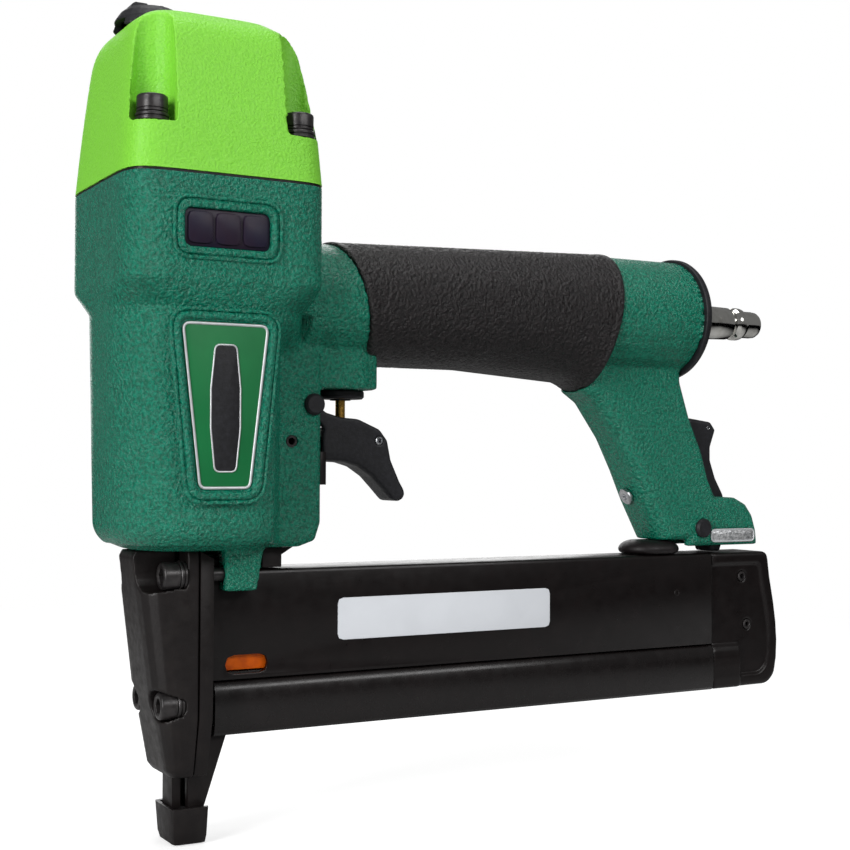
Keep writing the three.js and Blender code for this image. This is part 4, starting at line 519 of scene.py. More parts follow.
# The valley between barrel and web: its radius about the axis, where it starts and the length in which it
# comes to full depth, along X and then down from its top.
REAR_ROUND, REAR_START, REAR_LENGTH = 25, 13.5, 5.5
REAR_TOP, REAR_FADE = 150, 12
WEB_HALF = 13
TUBE_START, TUBE_END = 33, 175.1
TUBE_INSET = 1  # depth of the casting's tube under the grip's surface
TUBE_RIM = (1.5, 0.3)  # reach before and behind its end, where points are drawn onto that end
HANDLE_Z = 158.2
HANDLE_HALF = 21.6
# Half height of the hand tube: above its axis, where it grows to the rear, and below it, with a flare.
HAND_TOP, HAND_GROWTH, HAND_LOW = 18.2, 3.7, 19.8
FLARE, FLARE_START, FLARE_LENGTH = 6.6, 113, 24
GRIP_FRONT, GRIP_FRONT_LEAN = 41.2, 13.5
GRIP_REAR, GRIP_REAR_LEAN = 145.0, 9.5
# How close to a section, as a share of it, a point is drawn onto it: least on a wall, least at a rim, most.
BARREL_NEAR = (0.984, 0.965, 1.008)
COLLAR_NEAR = (0.985, 0.955, 1.006)
TUBE_NEAR = (0.975, 0.95, 1.004)
CAP_NEAR = (0.975, 0.95, 1.01)
FACE_NEAR = 0.35  # how close to a flat end face a point is put on it


def share_of(x, y, half_x, half_y, power):
    """How far out a point is on a squarish ring: 1 is on it."""
    return ((abs(x) / half_x) ** power + (abs(y) / half_y) ** power) ** (1 / power)


def is_near(share, limits, at_rim):
    """Whether a point that is so far out belongs to the section's surface."""
    wall, rim, most = limits
    return (rim if at_rim else wall) < share < most


def handle_reach(x, z, flared):
    """Half height of the hand tube above or below its axis."""
    along = min(max((x - GRIP_FRONT) / (GRIP_REAR - GRIP_FRONT), 0), 1)
    past = min(max((x - FLARE_START) / FLARE_LENGTH, 0), 1)
    return HAND_TOP + HAND_GROWTH * along if z > HANDLE_Z else HAND_LOW + (FLARE * past**2 if flared else 0)


def eased(value):
    """0 below 0 and 1 above 1, with a smooth rise between."""
    t = min(max(value, 0), 1)
    return t * t * (3 - 2 * t)


def rear_half(dx, radius, power, share):
    """Half width of the barrel dx behind its axis, where it draws in to a valley beside the web. share is
    how much of the valley there is at this height."""
    full = radius * (1 - (dx / radius) ** power) ** (1 / power)
    inner = math.sqrt(max(REAR_ROUND**2 - dx**2, WEB_HALF**2))
    drawn = full + (inner - full) * eased((dx - REAR_START) / REAR_LENGTH)
    return max(full + (min(full, drawn) - full) * share, WEB_HALF)


def true_housing(x, y, z):
    """Draws points close to the barrel, collar or hand tube onto their exact round shape."""
    dx = x - BODY_X
    (z0, *low), (z1, *high) = BARREL
    if BARREL_LOW < z < z1:
        radius, power = (a + (b - a) * max(z - z0, 0) / (z1 - z0) for a, b in zip(low, high))
        if z < z0:
            radius -= BARREL_EDGE - math.sqrt(BARREL_EDGE**2 - (z0 - z) ** 2)
        share = share_of(dx, y, radius, radius, power)
        if is_near(share, BARREL_NEAR, z <= z0):
            x, dx, y = BODY_X + dx / share, dx / share, y / share
        if REAR_START < dx < radius:
            half = rear_half(dx, radius, power, eased((REAR_TOP - z) / REAR_FADE))
            y = math.copysign(min(abs(y), half), y)
        return (x, y, z)
    if COLLAR_LOW < z:
        share = share_of(dx, y, *COLLAR)
        if is_near(share, COLLAR_NEAR, z >= COLLAR_RIM):
            return (BODY_X + dx / share, y / share, COLLAR_TOP if z > COLLAR_TOP - FACE_NEAR else z)
    if x > TUBE_START:
        reach = handle_reach(x, z, False) - TUBE_INSET
        share = math.hypot(y / (HANDLE_HALF - TUBE_INSET), (z - HANDLE_Z) / reach)
        last = TUBE_END - TUBE_RIM[0] < x < TUBE_END + TUBE_RIM[1]
        if is_near(share, TUBE_NEAR, last):
            return (TUBE_END if last else x, y / share, HANDLE_Z + (z - HANDLE_Z) / share)
    return None


# The slots under the barrel: their box, the rounded corner that isn't in it, and the room added.
POCKET_HALF, POCKET_FRONT, POCKET_REAR = 11.6, -9, 36.1
POCKET_LOW, POCKET_TOP = BARREL_BOTTOM + 0.2, 125
POCKET_CORNER, POCKET_ROUND = (29.3, 91), 6.4
POCKET_SLACK = 0.4


def open_pockets(obj):
    """Puts the walls of the slots under the barrel back on the solid's own walls, a little wider, so that
    the sliding linkage keeps its room."""
    solid = bmesh.new()
    solid.from_mesh(NODES["housing"].data)
    tree = BVHTree.FromBMesh(solid)
    solid.free()
    for vertex in obj.data.vertices:
        x, y, z = (c / MM for c in vertex.co)
        inside = POCKET_FRONT < x < POCKET_REAR and POCKET_LOW < z < POCKET_TOP and abs(y) < POCKET_HALF
        off = (max(x - POCKET_CORNER[0], 0), max(POCKET_CORNER[1] - z, 0))
        if inside and (min(off) == 0 or math.hypot(*off) < POCKET_ROUND):
            place, normal, _, _ = tree.find_nearest(vertex.co)
            vertex.co = place - normal * POCKET_SLACK * MM


CAP_LOW, CAP_HEIGHT = 188.0, 48.6
CAP_FOOT, CAP_CROWN = 0.03, 0.9
CAP_ROWS = [  # share of the height, share of the collar's size, power, lean to the front
    (0, 1, 7.5, 0), (0.37, 0.945, 7.5, 0), (0.7, 0.87, 7.125, 0.02), (0.82, 0.825, 6.6, 0.032),
    (0.9, 0.75, 5.85, 0.045), (0.955, 0.63, 4.95, 0.055), (0.985, 0.46, 3.6, 0.06), (1, 0.18, 2.7, 0.06),
]


def true_cap(x, y, z):
    """Draws the cap's outer points onto its smooth taper."""
    rise = (z - CAP_LOW) / CAP_HEIGHT
    if rise > CAP_CROWN:
        return None
    keep, power, lean = spline(CAP_ROWS, rise)
    middle = BODY_X - lean * COLLAR[0]
    dx = x - middle
    share = share_of(dx, y, COLLAR[0] * keep, COLLAR[1] * keep, power)
    if is_near(share, CAP_NEAR, rise <= CAP_FOOT):
        return (middle + dx / share, y / share, z if z > CAP_LOW + FACE_NEAR else CAP_LOW)
    return None


housing = cast("housing", voxel=0.62, rounds=3)
move_points(housing, true_housing)
open_pockets(housing)
dress(housing, "housing")
cap = cast("cap", voxel=0.55, rounds=4)
move_points(cap, true_cap)
dress(cap, "cap")

CAP_SCREW_X, CAP_SCREW_Y = 21.8, 24.3
CAP_SCREWS = [(BODY_X + sx * CAP_SCREW_X, sy * CAP_SCREW_Y) for sy in SIDES for sx in SIDES]
dress(
    joined("cap_washers", [
        washer_pair(f"w{i}", "z", at, 1, inner=2.6, outer=4.6, low=201.1, high=203.3)
        for i, at in enumerate(CAP_SCREWS)
    ]),
    *[f"cap_washer_{i}" for i in range(1, 5)],
)
dress(
    joined("cap_screws", [
        socket_screw(
            f"s{i}", "z", at, 1, shank=2.5, head=(4.25, 5), socket=(2.3, 2.6), lift=203.4, start=179.4,
            grooves=(0.75,),
        )
        for i, at in enumerate(CAP_SCREWS)
    ]),
    *[f"cap_screw_{i}" for i in range(1, 5)],
)

dress(cast("exhaust_deflector", voxel=0.25, rounds=1), "exhaust_deflector")
bevelled("deflector_screw", width=0.2)

# ---- windows, badges and label -------------------------------------------------

for word in ("left", "right"):
    bevelled(f"window_{word}", width=0.22)
    bevelled(f"badge_{word}", width=0.2)
bevelled("label_plate", width=0.12)


def loop_tube(name, points, normal_y, radius, flat):
    """A rounded bead along a closed outline in a plane across Y; flat is its height over its half width."""
    count = len(points)
    rings = []
    for i in range(count):
        before, here, after = (Vector(points[(i + k) % count]) for k in (-1, 0, 1))
        along = (after - before).normalized()
        out = Vector((-along.y, along.x))
        ring = []
        for k in range(BEAD_ROUND):
            turn = 2 * math.pi * k / BEAD_ROUND
            place = here + out * (radius * math.cos(turn))
            ring.append(Vector((place.x, normal_y + radius * flat * math.sin(turn), place.y)) * MM)
        rings.append(ring)
    return ring_object(name, rings, closed=True, angle=BEAD_ANGLE)


CORNER_STEPS = 6


def corner_points(corners, radius):
    """A closed outline with rounded corners."""
    made = []
    for i, corner in enumerate(corners):
        here = Vector(corner)
        back = (Vector(corners[i - 1]) - here).normalized()
        ahead = (Vector(corners[(i + 1) % len(corners)]) - here).normalized()
        half = back.angle(ahead) / 2
        reach = radius / math.tan(half)
        start, end = here + back * reach, here + ahead * reach
        for k in range(CORNER_STEPS + 1):
            t = k / CORNER_STEPS
            made.append(start * (1 - t) ** 2 + here * 2 * t * (1 - t) + end * t**2)
    return made


SIDE_X = -0.9  # middle of badge and window along X
BADGE_LOW, BADGE_TOP = (101.2, 7.8), (147.2, 13)  # height of the edge, half its length
BADGE_FACE, BADGE_ROUND = 29.6, 2.4
FIELD_SINK, BEAD_SINK = 0.3, 0.12
LINE_INSET, LINE_ROUND, LINE_BEAD = 0.55, 2.0, 0.42
BADGE_BEADS = ((1.6, 1.15, "ridge"), (3.4, 0.6, "step"))  # distance outside the outline, half width
PLATE_Z = 123.6
PLATE_END, PLATE_MIDDLE = (3.1, 17.4), (4.3, 5.5)  # corners of its quarter, from its middle
PLATE_ROUND, PLATE_BEAD, PLATE_BEAD_UP = 1.7, 0.26, 0.1
PLATE_STEPS = ((1, -0.3), (1, 0.12), (0.96, 0.22))  # share of the outline, height over the field
WINDOW_Z = 172.6
WINDOW_HALF, WINDOW_ROUND = (12.5, 5.2), 1.6
WINDOW_BEADS = ((1.35, 1.0, "ridge"), (3.1, 0.55, "step"))
WINDOW_SINK = 0.6
COLLAR_FACE = 31.4


def mirrored(quarter, middle_z):
    """A closed outline from the corners of its upper right quarter, top first."""
    half = quarter + [(x, -z) for x, z in reversed(quarter)]
    right = [(SIDE_X + x, middle_z + z) for x, z in half]
    return right + [(SIDE_X - x, middle_z + z) for x, z in reversed(half)]


def badge_outline(more):
    """The badge's corners, drawn outwards by so much."""
    (low_z, low), (top_z, top) = BADGE_LOW, BADGE_TOP
    return [
        (SIDE_X - low - more, low_z - more), (SIDE_X + low + more, low_z - more),
        (SIDE_X + top + more, top_z + more), (SIDE_X - top - more, top_z + more),
    ]


def plate_ring(points, grow, y):
    """The outline of the badge's plate, scaled about its middle, as a ring at y."""
    middle = Vector((SIDE_X, PLATE_Z))
    return [Vector((p.x, y, p.y)) * MM for p in (middle + (q - middle) * grow for q in points)]


def silver_bead(name, points, y, radius, flat):
    """A bright line along a closed outline."""
    add_trim(loop_tube(name, points, y, radius, flat), "main", "steel", "silver_line")


for side, word in zip(SIDES, ("left", "right")):
    face = side * (BADGE_FACE - FIELD_SINK)
    edge = corner_points(badge_outline(-LINE_INSET), LINE_ROUND)
    silver_bead(f"badge_trim_{word}", edge, face, LINE_BEAD, flat=0.8)
    for more, bead, name in BADGE_BEADS:
        rim = corner_points(badge_outline(more), BADGE_ROUND + more)
        y = side * (BADGE_FACE - BEAD_SINK)
        add_trim(loop_tube(f"badge_{name}_{word}", rim, y, bead, flat=0.6), "main", "casting")
    capsule = corner_points(mirrored([PLATE_END, PLATE_MIDDLE], PLATE_Z), PLATE_ROUND)
    rings = [plate_ring(capsule, grow, face + side * up) for grow, up in PLATE_STEPS]
    add_trim(ring_object(f"badge_plate_{word}", rings), "main", "black_plastic")
    silver_bead(f"badge_plate_rim_{word}", capsule, face + side * PLATE_BEAD_UP, PLATE_BEAD, flat=0.9)
    for more, bead, name in WINDOW_BEADS:
        half_x, half_z = (h + more for h in WINDOW_HALF)
        rim = corner_points(mirrored([(half_x, half_z)], WINDOW_Z), WINDOW_ROUND + more)
        y = side * (COLLAR_FACE - bead * WINDOW_SINK)
        add_trim(loop_tube(f"window_{name}_{word}", rim, y, bead, flat=0.58), "main", "casting")

# ---- grip, end cap and air plug -------------------------------------------------

GRIP_TOP, GRIP_TALL = 180.1, 50
GRIP_WALL, GRIP_RIM = 3.0, 1.1
GRIP_LENGTH, GRIP_MIDDLE = 95.0, 90.0
GRIP_ROWS = 230
GRIP_AROUND = 250
GRIP_SOLVES = 6
RIM_ANGLES = (0.5, 1.0, math.pi / 2)
SMOOTH_EDGE, EDGE_FADE = 1.9, 0.9  # width of the plain band at a rim, and of its change to grain
GRAIN_BASE, GRAIN_DEPTH, GRAIN_MARGIN = 0.1, 0.3, 0.12
GRAIN_SCALE, GRAIN_GAIN = 0.95, 1.9
FINE_SCALE, FINE_SHARE, FINE_SHIFT = 2.1, 0.6, Vector((7, 3, 1))


def grip_point(along, angle, inset):
    """A point of the grip: along runs from its front rim to its rear rim, inset goes into the wall. Its x
    and z depend on each other, so they are found in rounds."""
    c, s = math.cos(angle), math.sin(angle)
    x = GRIP_MIDDLE
    for _ in range(GRIP_SOLVES):
        z = HANDLE_Z + s * (handle_reach(x, HANDLE_Z + s, True) - inset)
        front = GRIP_FRONT + GRIP_FRONT_LEAN * (GRIP_TOP - z) / GRIP_TALL
        rear = GRIP_REAR - GRIP_REAR_LEAN * (GRIP_TOP - z) / GRIP_TALL
        x = front + along * (rear - front)
    return Vector((x, c * (HANDLE_HALF - inset), z))


def grain(point):
    """Height of the leathery grain, 0 to 1."""
    p = point * GRAIN_SCALE
    wrinkle = abs(noise.noise(p)) + FINE_SHARE * abs(noise.noise(p * FINE_SCALE + FINE_SHIFT))
    return min(wrinkle * GRAIN_GAIN, 1)


def build_grip():
    """The grip sleeve: rounded rims, a plain band beside each, and grain between them."""
    rows = []
    steps = [(0, GRIP_WALL), (0, GRIP_RIM)]
    steps += [(GRIP_RIM * (1 - math.cos(a)), GRIP_RIM * (1 - math.sin(a))) for a in RIM_ANGLES]
    ends = [(x / GRIP_LENGTH, inset) for x, inset in steps]
    rim = GRIP_RIM / GRIP_LENGTH
    middle = [(i / GRIP_ROWS, 0) for i in range(1, GRIP_ROWS) if rim < i / GRIP_ROWS < 1 - rim]
    for along, inset in ends + middle + [(1 - a, inset) for a, inset in reversed(ends)]:
        row = []
        for i in range(GRIP_AROUND):
            angle = 2 * math.pi * i / GRIP_AROUND
            point = grip_point(along, angle, inset)
            if inset == 0:
                edge = min(along, 1 - along) * GRIP_LENGTH
                fade = eased((edge - SMOOTH_EDGE) / EDGE_FADE)
                depth = GRAIN_BASE + (GRAIN_DEPTH * (1 - grain(point)) + GRAIN_MARGIN) * fade
                point = grip_point(along, angle, depth)
            row.append(point * MM)
        rows.append(row)
    return ring_object("grip_skin", rows, closed=True, angle=GRAIN_ANGLE)


dress(build_grip(), "handle_grip", look="grip")

PLUG_X, PLUG_LENGTH, PLUG_Z = 170.2, 45.1, 159.2
PLUG_RADIUS, PLUG_BORE, PLUG_MOUTH = 6.4, 2.5, 2.9
PLUG_ROWS = [  # share of the radius, share of the length
    (0.78, 0.0), (0.78, 0.21), (1, 0.21), (1, 0.415), (0.985, 0.43), (0.93, 0.46), (0.92, 0.55),
    (0.89, 0.7), (0.84, 0.71), (0.77, 0.735), (0.77, 0.748), (0.89, 0.765), (0.91, 0.775), (0.905, 0.815),
    (0.88, 0.83), (0.77, 0.85), (0.75, 0.865), (0.75, 0.95), (0.72, 0.985), (0.66, 1),
]
HEX_LOW, HEX_HIGH = 178.2, 189.8
HEX_CORNER, HEX_CHAMFER, HEX_INNER = 8, 6.9, 6.3
HEX_FRONT_EDGE, HEX_REAR_EDGE, MOUTH_EDGE = 0.5, 0.7, 0.4
END_CAP_HALF = (22.2, 21)
END_CAP_STEPS = (  # behind the tube's end, in from the outline
    (0, 9.3), (0, 0.3), (0.3, 0), (1.6, 0), (2.3, 0.35), (2.8, 1.0), (3, 1.9), (3, 3.4), (2.5, 4.0),
    (2.5, 12.0), (2.9, 12.6), (2.9, 15.2),
)


def disc_ring(x, inset):
    """An oval ring about the plug's axis."""
    half_y, half_z = (half - inset for half in END_CAP_HALF)
    return [
        Vector((x, half_y * math.cos(a), PLUG_Z + half_z * math.sin(a))) * MM
        for a in (2 * math.pi * i / DISC_ROUND for i in range(DISC_ROUND))
    ]


end_cap = [disc_ring(TUBE_END + back, inset) for back, inset in END_CAP_STEPS]
dress(ring_object("handle_end_cap_skin", end_cap, closed=True), "handle_end_cap")

plug_end = PLUG_X + PLUG_LENGTH
plug_skin = [(PLUG_BORE, PLUG_X)] + [(r * PLUG_RADIUS, PLUG_X + t * PLUG_LENGTH) for r, t in PLUG_ROWS]
plug_skin += [(PLUG_MOUTH, plug_end), (PLUG_BORE, plug_end - MOUTH_EDGE)]
plug = turned("plug_body", "x", (0, PLUG_Z), plug_skin, bore=True)
to_hex = placed("x", (0, PLUG_Z))
plug_hex = ring_object("plug_hex", [
    circle(to_hex, HEX_INNER, HEX_LOW), circle(to_hex, HEX_CHAMFER, HEX_LOW),
    circle(to_hex, HEX_CORNER, HEX_LOW + HEX_FRONT_EDGE, corners=6),
    circle(to_hex, HEX_CORNER, HEX_HIGH - HEX_REAR_EDGE, corners=6),
    circle(to_hex, HEX_CHAMFER, HEX_HIGH), circle(to_hex, HEX_INNER, HEX_HIGH),
])
dress(joined("air_plug_skin", [plug, plug_hex]), "air_plug")

# ---- trigger, valve and pins ----------------------------------------------------

HEEL, HEEL_X, HEEL_Z = 1.6, (44, 4), (121, 5)  # shift, and where it starts and its reach along X and down


def trigger_heel(x, y, z):
    """Brings the trigger's lower front edge forward, to its slant in the photo."""
    (start_x, reach_x), (start_z, reach_z) = HEEL_X, HEEL_Z
    return (x - HEEL * eased((start_x - x) / reach_x) * eased((start_z - z) / reach_z), y, z)


trigger = cast("trigger", voxel=0.35, rounds=10)
move_points(trigger, trigger_heel)
dress(trigger, "trigger")
dress(cast("latch_lever", voxel=0.35, rounds=7), "latch_lever")
bevelled("trigger_lever", width=0.25)

PIN_SEAT = 0.1
HEAD_TOP, HEAD_EDGE = 1.5, ((0.7, 1.5), (0.15, 0.9), (0, 0.7))  # (in from the rim, up from the seat)
TAIL, TAIL_EDGE = 2, 0.3


def headed_pin(node, at, radius, head, half):
    """A pin with a flat, chamfered head on the near side. head is that head's radius, half the half length
    between its seat and the far face."""
    face = half + PIN_SEAT
    profile = [(TIP, face + HEAD_TOP)] + [(head - inset, face + up) for inset, up in HEAD_EDGE]
    profile += [(head, face), (radius, face), (radius, -face - (TAIL - TAIL_EDGE))]
    profile += [(radius - TAIL_EDGE, -face - TAIL), (TIP, -face - TAIL)]
    dress(turned(node + "_skin", "y", at, profile, turn=-1, sides=PIN_ROUND), node)


headed_pin("trigger_pin", (33.3, 126), radius=2, head=3.2, half=13)
headed_pin("latch_pin", (184, 86.4), radius=1.8, head=3.3, half=9)
for name in ("trigger_pin_clip", "latch_pin_clip"):
    bevelled(name, width=0.2)

BORE_DEPTH, BORE_PARTS = 2.5, 3  # a blind bore's depth; a short pin's is one of so many parts of its length
RIM_ROUND, MOUTH_DEPTH, MOUTH_WIDTH = 0.25, 0.2, 0.15


def hollow_pin(name, at, radius, bore, low, high):
    """A roll pin: rounded rims and a blind bore at both ends."""
    deep = min(BORE_DEPTH, (high - low) / BORE_PARTS)
    mouth, rim = bore + MOUTH_WIDTH, radius - RIM_ROUND
    profile = [
        (TIP, low + deep), (bore, low + deep), (bore, low + MOUTH_DEPTH), (mouth, low), (rim, low),
        (radius, low + RIM_ROUND), (radius, high - RIM_ROUND), (rim, high), (mouth, high),
        (bore, high - MOUTH_DEPTH), (bore, high - deep), (TIP, high - deep),
    ]
    return turned(name, "y", at, profile, sides=PIN_ROUND)


HOLLOW_PINS = [  # node, place (x, z), radius, bore, low and high end along Y
    ("stop_pin", (26.1, 115), 1.8, 0.95, -13.25, -9.3),
    ("end_cap_pin_upper", (202.9, 69), 1.7, 0.85, -7.9, 7.9),
    ("end_cap_pin_lower", (205.2, 52), 1.7, 0.85, -7.9, 7.9),
    ("trigger_rivet", (58.8, 115.6), 1.3, 0.62, -6.3, 6.3),
]
for node, *sizes in HOLLOW_PINS:
    dress(hollow_pin(node + "_skin", *sizes), node)
COVER_PIN = ((173, 64.4), 1.25, 0.6)
COVER_PIN_ENDS = (7.3, 8.62)
for side, word in zip(SIDES, ("left", "right")):
    ends = sorted(side * end for end in COVER_PIN_ENDS)
    pin = hollow_pin(f"cover_pin_{word}", *COVER_PIN, *ends)
    add_trim(pin, BODY_OF["magazine_cover"], "black_steel")
LATCH_MARK = ((190, 121.4), 0.75, 0.35, -5.1, 5.1)
add_trim(hollow_pin("latch_mark", *LATCH_MARK), BODY_OF["latch_lever"], "steel")

VALVE = (48.2, 0)
VALVE_PROFILE = [
    (1.8, 127.9), (3.2, 127.9), (3.2, 128.3), (6.7, 128.3), (7.3, 128.9), (7.3, 130.4), (6.9, 130.9),
    (5, 130.9), (5, 148), (3.2, 148), (3.2, 134.8), (1.8, 134.8),
]
STEM_PROFILE = [
    (TIP, 121.6), (1.2, 121.65), (1.5, 121.95), (1.5, 135.1), (2.8, 135.1), (2.8, 137.1), (TIP, 137.1),
]
dress(turned("valve_body_skin", "z", VALVE, VALVE_PROFILE, bore=True), "valve_body")
dress(turned("valve_stem_skin", "z", VALVE, STEM_PROFILE), "valve_stem")

# ---- springs ---------------------------------------------------------------------

SPRINGS = {  # axis, place, radius, wire, low end, high end, turns, joint, end that stays, share left
    "head_valve_spring": ("z", (BODY_X, 0), 14, 1.1, 206.1, 225.7, 4.5, "air_valve_lift", 225.7, 0.79),
    "valve_spring": ("z", VALVE, 2.6, 0.3, 137.4, 145.7, 6, "stem_lift", 145.7, 0.6),
    "safety_spring": ("z", (22.3, 0), 2.6, 0.4, 83.9, 92.7, 6, "contact_slide", 92.7, 0.31),
}
for node, (axis, at, radius, wire, low, high, turns, joint, anchor, keep) in SPRINGS.items():
    piece = coil(node + "_coil", axis, at, radius, wire, low, high, turns)
    dress(piece, node)
    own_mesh(piece)
feeder_coil = coil(
    "pusher_spring_coil", "x", (4.5, 61), radius=1.9, wire=0.3, low=29.1, high=188.5, turns=60,
)
dress(feeder_coil, "pusher_spring")
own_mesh(feeder_coil)
latch_coil = coil("latch_spring_coil", "y", (184, 86.4), radius=3.2, wire=0.55, low=-2.4, high=2.4, turns=4)
dress(latch_coil, "latch_spring")

# ---- nose, foot, magazine ----------------------------------------------------------

GUIDE_TOP, GUIDE_RISE, GUIDE_START, GUIDE_REACH = 78.9, 3.7, 4, 5
TAB_START, TAB_END = 33, 38.6
TAB_LOW, TAB_RISE = 102, 2.2


def guide_top(x, y, z):
    """Raises the front of the guide plate's top edge, so no light comes between the nose plates."""
    return (x, y, z + GUIDE_RISE * eased((GUIDE_START - x) / GUIDE_REACH)) if z > GUIDE_TOP else None


def link_tab(x, y, z):
    """Trims the safety link's tab to what the photo shows beside the web."""
    return (min(x, TAB_END), y, z + (TAB_RISE if z < TAB_LOW else 0)) if x > TAB_START else None


dress(cast("nose_front_plate", voxel=0.4, rounds=4), "nose_front_plate")
move_points(bevelled("nose_guide_plate", width=0.3), guide_top)
bevelled("contact_foot", width=0.35)
move_points(bevelled("safety_link", width=0.3), link_tab)

NOSE_SEAT, NOSE_HEAD = 6.0, 7.9  # low face of the washers, and seat of the heads
NOSE_SCREWS = [((-11.1, 76.8), 17), ((11.1, 76.8), 17), ((-9.6, 40.3), 8.4), ((9.6, 40.3), 8.4)]
nose_parts = []
for i, (at, length) in enumerate(NOSE_SCREWS):
    nose_parts.append(washer_pair(
        f"nw{i}", "x", at, -1, inner=1.9, outer=4.1, low=NOSE_SEAT, high=NOSE_HEAD,
    ))
    nose_parts.append(socket_screw(
        f"ns{i}", "x", at, -1, shank=2, head=(3.9, 5), socket=(2.3, 2.6), lift=NOSE_HEAD,
        start=NOSE_SEAT - length,
    ))
dress(joined("nose_screws", nose_parts), *[f"nose_screw_{i}" for i in range(1, 5)])

bevelled("magazine_cover", width=0.3)
bevelled("magazine_rail", width=0.35, look="rail_alloy")
dress(cast("magazine_end_cap", voxel=0.45, rounds=3), "magazine_end_cap")
bevelled("pusher", width=0.4)

PAD_FRONT, PAD_REAR, PAD_HALF = 156.6, 178.1, 9.3
PAD_LOW, PAD_TOP = 77.7, 82.35
PAD_RIM = (  # in from the outline, up from the low face
    (2.6, 0), (1.3, 0.1), (0.5, 0.5), (0.1, 1.1), (0, 1.7), (0.25, 2.5), (0.9, 3.3), (1.9, 4), (3.2, 4.5),
    (4, 4.65),
)


def build_pad():
    """A flat disc drawn out along X, with rounded rims."""
    mid = (PAD_FRONT + PAD_REAR) / 2
    straight = (PAD_REAR - PAD_FRONT) / 2 - PAD_HALF
    rings = []
    for inset, up in PAD_RIM:
        ring = []
        for i in range(DISC_ROUND):
            angle = 2 * math.pi * (i + 0.5) / DISC_ROUND
            reach = PAD_HALF - inset
            x = mid + math.copysign(straight, math.cos(angle)) + reach * math.cos(angle)
            ring.append(Vector((x, reach * math.sin(angle), min(PAD_LOW + up, PAD_TOP))) * MM)
        rings.append(ring)
    return ring_object("magazine_pad_skin", rings)


dress(build_pad(), "magazine_pad")
STRUT_PLATE_X, STRUT_PLATE_Z = (187.95, 207.25), (81.65, 85.75)
STRUT_PLATE_ROUND, STRUT_PLATE_FACE = 1.6, -9.08
(front, rear), (low, high) = STRUT_PLATE_X, STRUT_PLATE_Z
bevelled("strut_plate", width=0.2, look="stamped_steel")
plate_edge = corner_points([(front, low), (rear, low), (rear, high), (front, high)], STRUT_PLATE_ROUND)
silver_bead("strut_plate_rim", plate_edge, STRUT_PLATE_FACE, 0.32, flat=0.7)
bevelled("strut_screw", width=0.2)

# ---- what stays as it is: only a better finish ---------------------------------------

for name, node in NODES.items():
    if not node.hide_render:
        node.data.materials.clear()
        node.data.materials.append(FINISHES[SLOT_OF[name]])
        shade(node)

# ---- stage -----------------------------------------------------------------------------


def pale(name, colour, glow, near, far):
    """A plain pale surface: lit near the middle, and turning to even white from `near` to `far` metres
    out."""
    material = bpy.data.materials.new(name)
    material.use_nodes = True
    tree = material.node_tree
    nodes, links = tree.nodes, tree.links
    nodes.clear()
    out = nodes.new("ShaderNodeOutputMaterial")
    base = nodes.new("ShaderNodeBsdfDiffuse")
    light = nodes.new("ShaderNodeEmission")
    light.inputs["Color"].default_value = WHITE
    place = nodes.new("ShaderNodeTexCoord")
    reach = nodes.new("ShaderNodeVectorMath")
    reach.operation = "LENGTH"
    links.new(place.outputs["Object"], reach.inputs[0])
    shares = []
    for first, last in ((glow, 1.0), (colour, 0.0)):
        spread = map_range(tree, reach.outputs["Value"], near, far, first, last)
        spread.interpolation_type = "SMOOTHSTEP"
        shares.append(spread.outputs["Result"])
    path = nodes.new("ShaderNodeLightPath")
    scale = nodes.new("ShaderNodeMath")
    scale.operation = "MULTIPLY"
    links.new(path.outputs["Is Camera Ray"], scale.inputs[0])
    links.new(shares[0], scale.inputs[1])
    links.new(scale.outputs[0], light.inputs["Strength"])
    links.new(shares[1], base.inputs["Color"])
    both = nodes.new("ShaderNodeAddShader")
    links.new(base.outputs[0], both.inputs[0])
    links.new(light.outputs[0], both.inputs[1])
    links.new(both.outputs[0], out.inputs["Surface"])
    return material


FLOOR_HALF, FLOOR_DROP = 6, 0.0004
floor_mesh = bmesh.new()
bmesh.ops.create_grid(floor_mesh, x_segments=1, y_segments=1, size=FLOOR_HALF)
floor = new_object("floor", floor_mesh)
floor.location = (0, 0, -FLOOR_DROP)
floor.data.materials.append(pale("pale_floor", colour=0.52, glow=0.64, near=0.25, far=0.7))

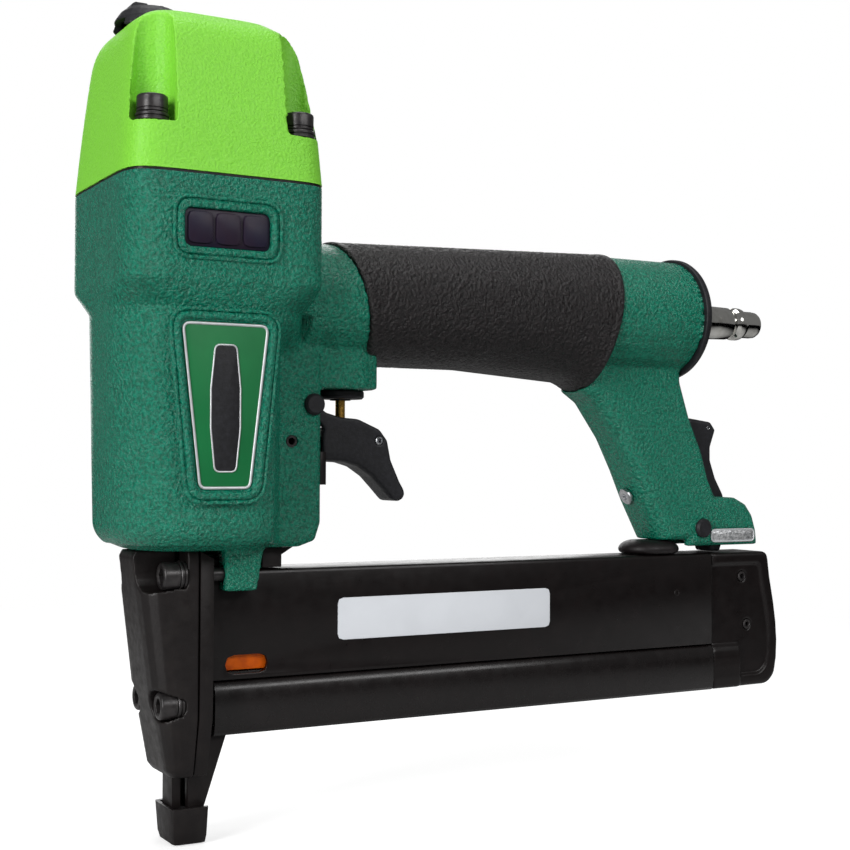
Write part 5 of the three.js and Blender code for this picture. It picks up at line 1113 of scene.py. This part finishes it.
STUDIO_LIGHT, BACKDROP_LIGHT = 0.19, 1.0
world = bpy.data.worlds.new("studio")
bpy.context.scene.world = world
world.use_nodes = True
wn, wl = world.node_tree.nodes, world.node_tree.links
wn.clear()
world_out = wn.new("ShaderNodeOutputWorld")
pick = wn.new("ShaderNodeMixShader")
for socket, strength in ((1, STUDIO_LIGHT), (2, BACKDROP_LIGHT)):
    background = wn.new("ShaderNodeBackground")
    background.inputs["Color"].default_value = WHITE
    background.inputs["Strength"].default_value = strength
    wl.new(background.outputs[0], pick.inputs[socket])
ray = wn.new("ShaderNodeLightPath")
wl.new(ray.outputs["Is Camera Ray"], pick.inputs["Fac"])
wl.new(pick.outputs[0], world_out.inputs["Surface"])

TARGET = Vector((0.06, 0, 0.13))
LAMPS = [  # name, place and size in metres, power in watts
    ("key", (-0.95, -0.5, 0.42), (0.34, 0.95), 12.5),
    ("front", (0.35, -1.05, 0.72), (1.1, 0.3), 7.0),
    ("top", (0.1, 0.1, 1.2), (0.6, 0.6), 5.5),
    ("back", (0.4, 0.95, 0.5), (0.8, 0.8), 4.5),
]
for name, place, (wide, tall), power in LAMPS:
    lamp = bpy.data.lights.new(name, "AREA")
    lamp.shape = "RECTANGLE"
    lamp.size = wide
    lamp.size_y = tall
    lamp.energy = power
    lit = bpy.data.objects.new(name, lamp)
    lit.location = place
    lit.rotation_mode = "QUATERNION"
    lit.rotation_quaternion = (TARGET - Vector(place)).to_track_quat("-Z", "Y")
    bpy.context.scene.collection.objects.link(lit)

# The photo's camera, solved from what it shows: its place in millimetres, and how it looks along +Y and +X.
CAMERA_AT = Vector((-148.4, -403.8, 109.1))
AZIMUTH, PITCH, ROLL = math.radians(29.3), math.radians(1.45), math.radians(0.2)
FOCAL, SENSOR, CLIP_START = 61.68, 36, 0.01
sight = Vector((
    math.sin(AZIMUTH) * math.cos(PITCH), math.cos(AZIMUTH) * math.cos(PITCH), math.sin(PITCH),
))
right = Vector((math.cos(AZIMUTH), -math.sin(AZIMUTH), 0))
up = right.cross(sight)
right, up = right * math.cos(ROLL) + up * math.sin(ROLL), up * math.cos(ROLL) - right * math.sin(ROLL)
lens = bpy.data.cameras.new("camera")
lens.lens = FOCAL
lens.sensor_width = SENSOR
lens.clip_start = CLIP_START
camera = bpy.data.objects.new("camera", lens)
turn = Matrix((right, up, -sight)).transposed().to_4x4()
camera.matrix_world = Matrix.Translation(CAMERA_AT * MM) @ turn
bpy.context.scene.collection.objects.link(camera)
bpy.context.scene.camera = camera
bpy.context.scene.view_settings.view_transform = "Standard"
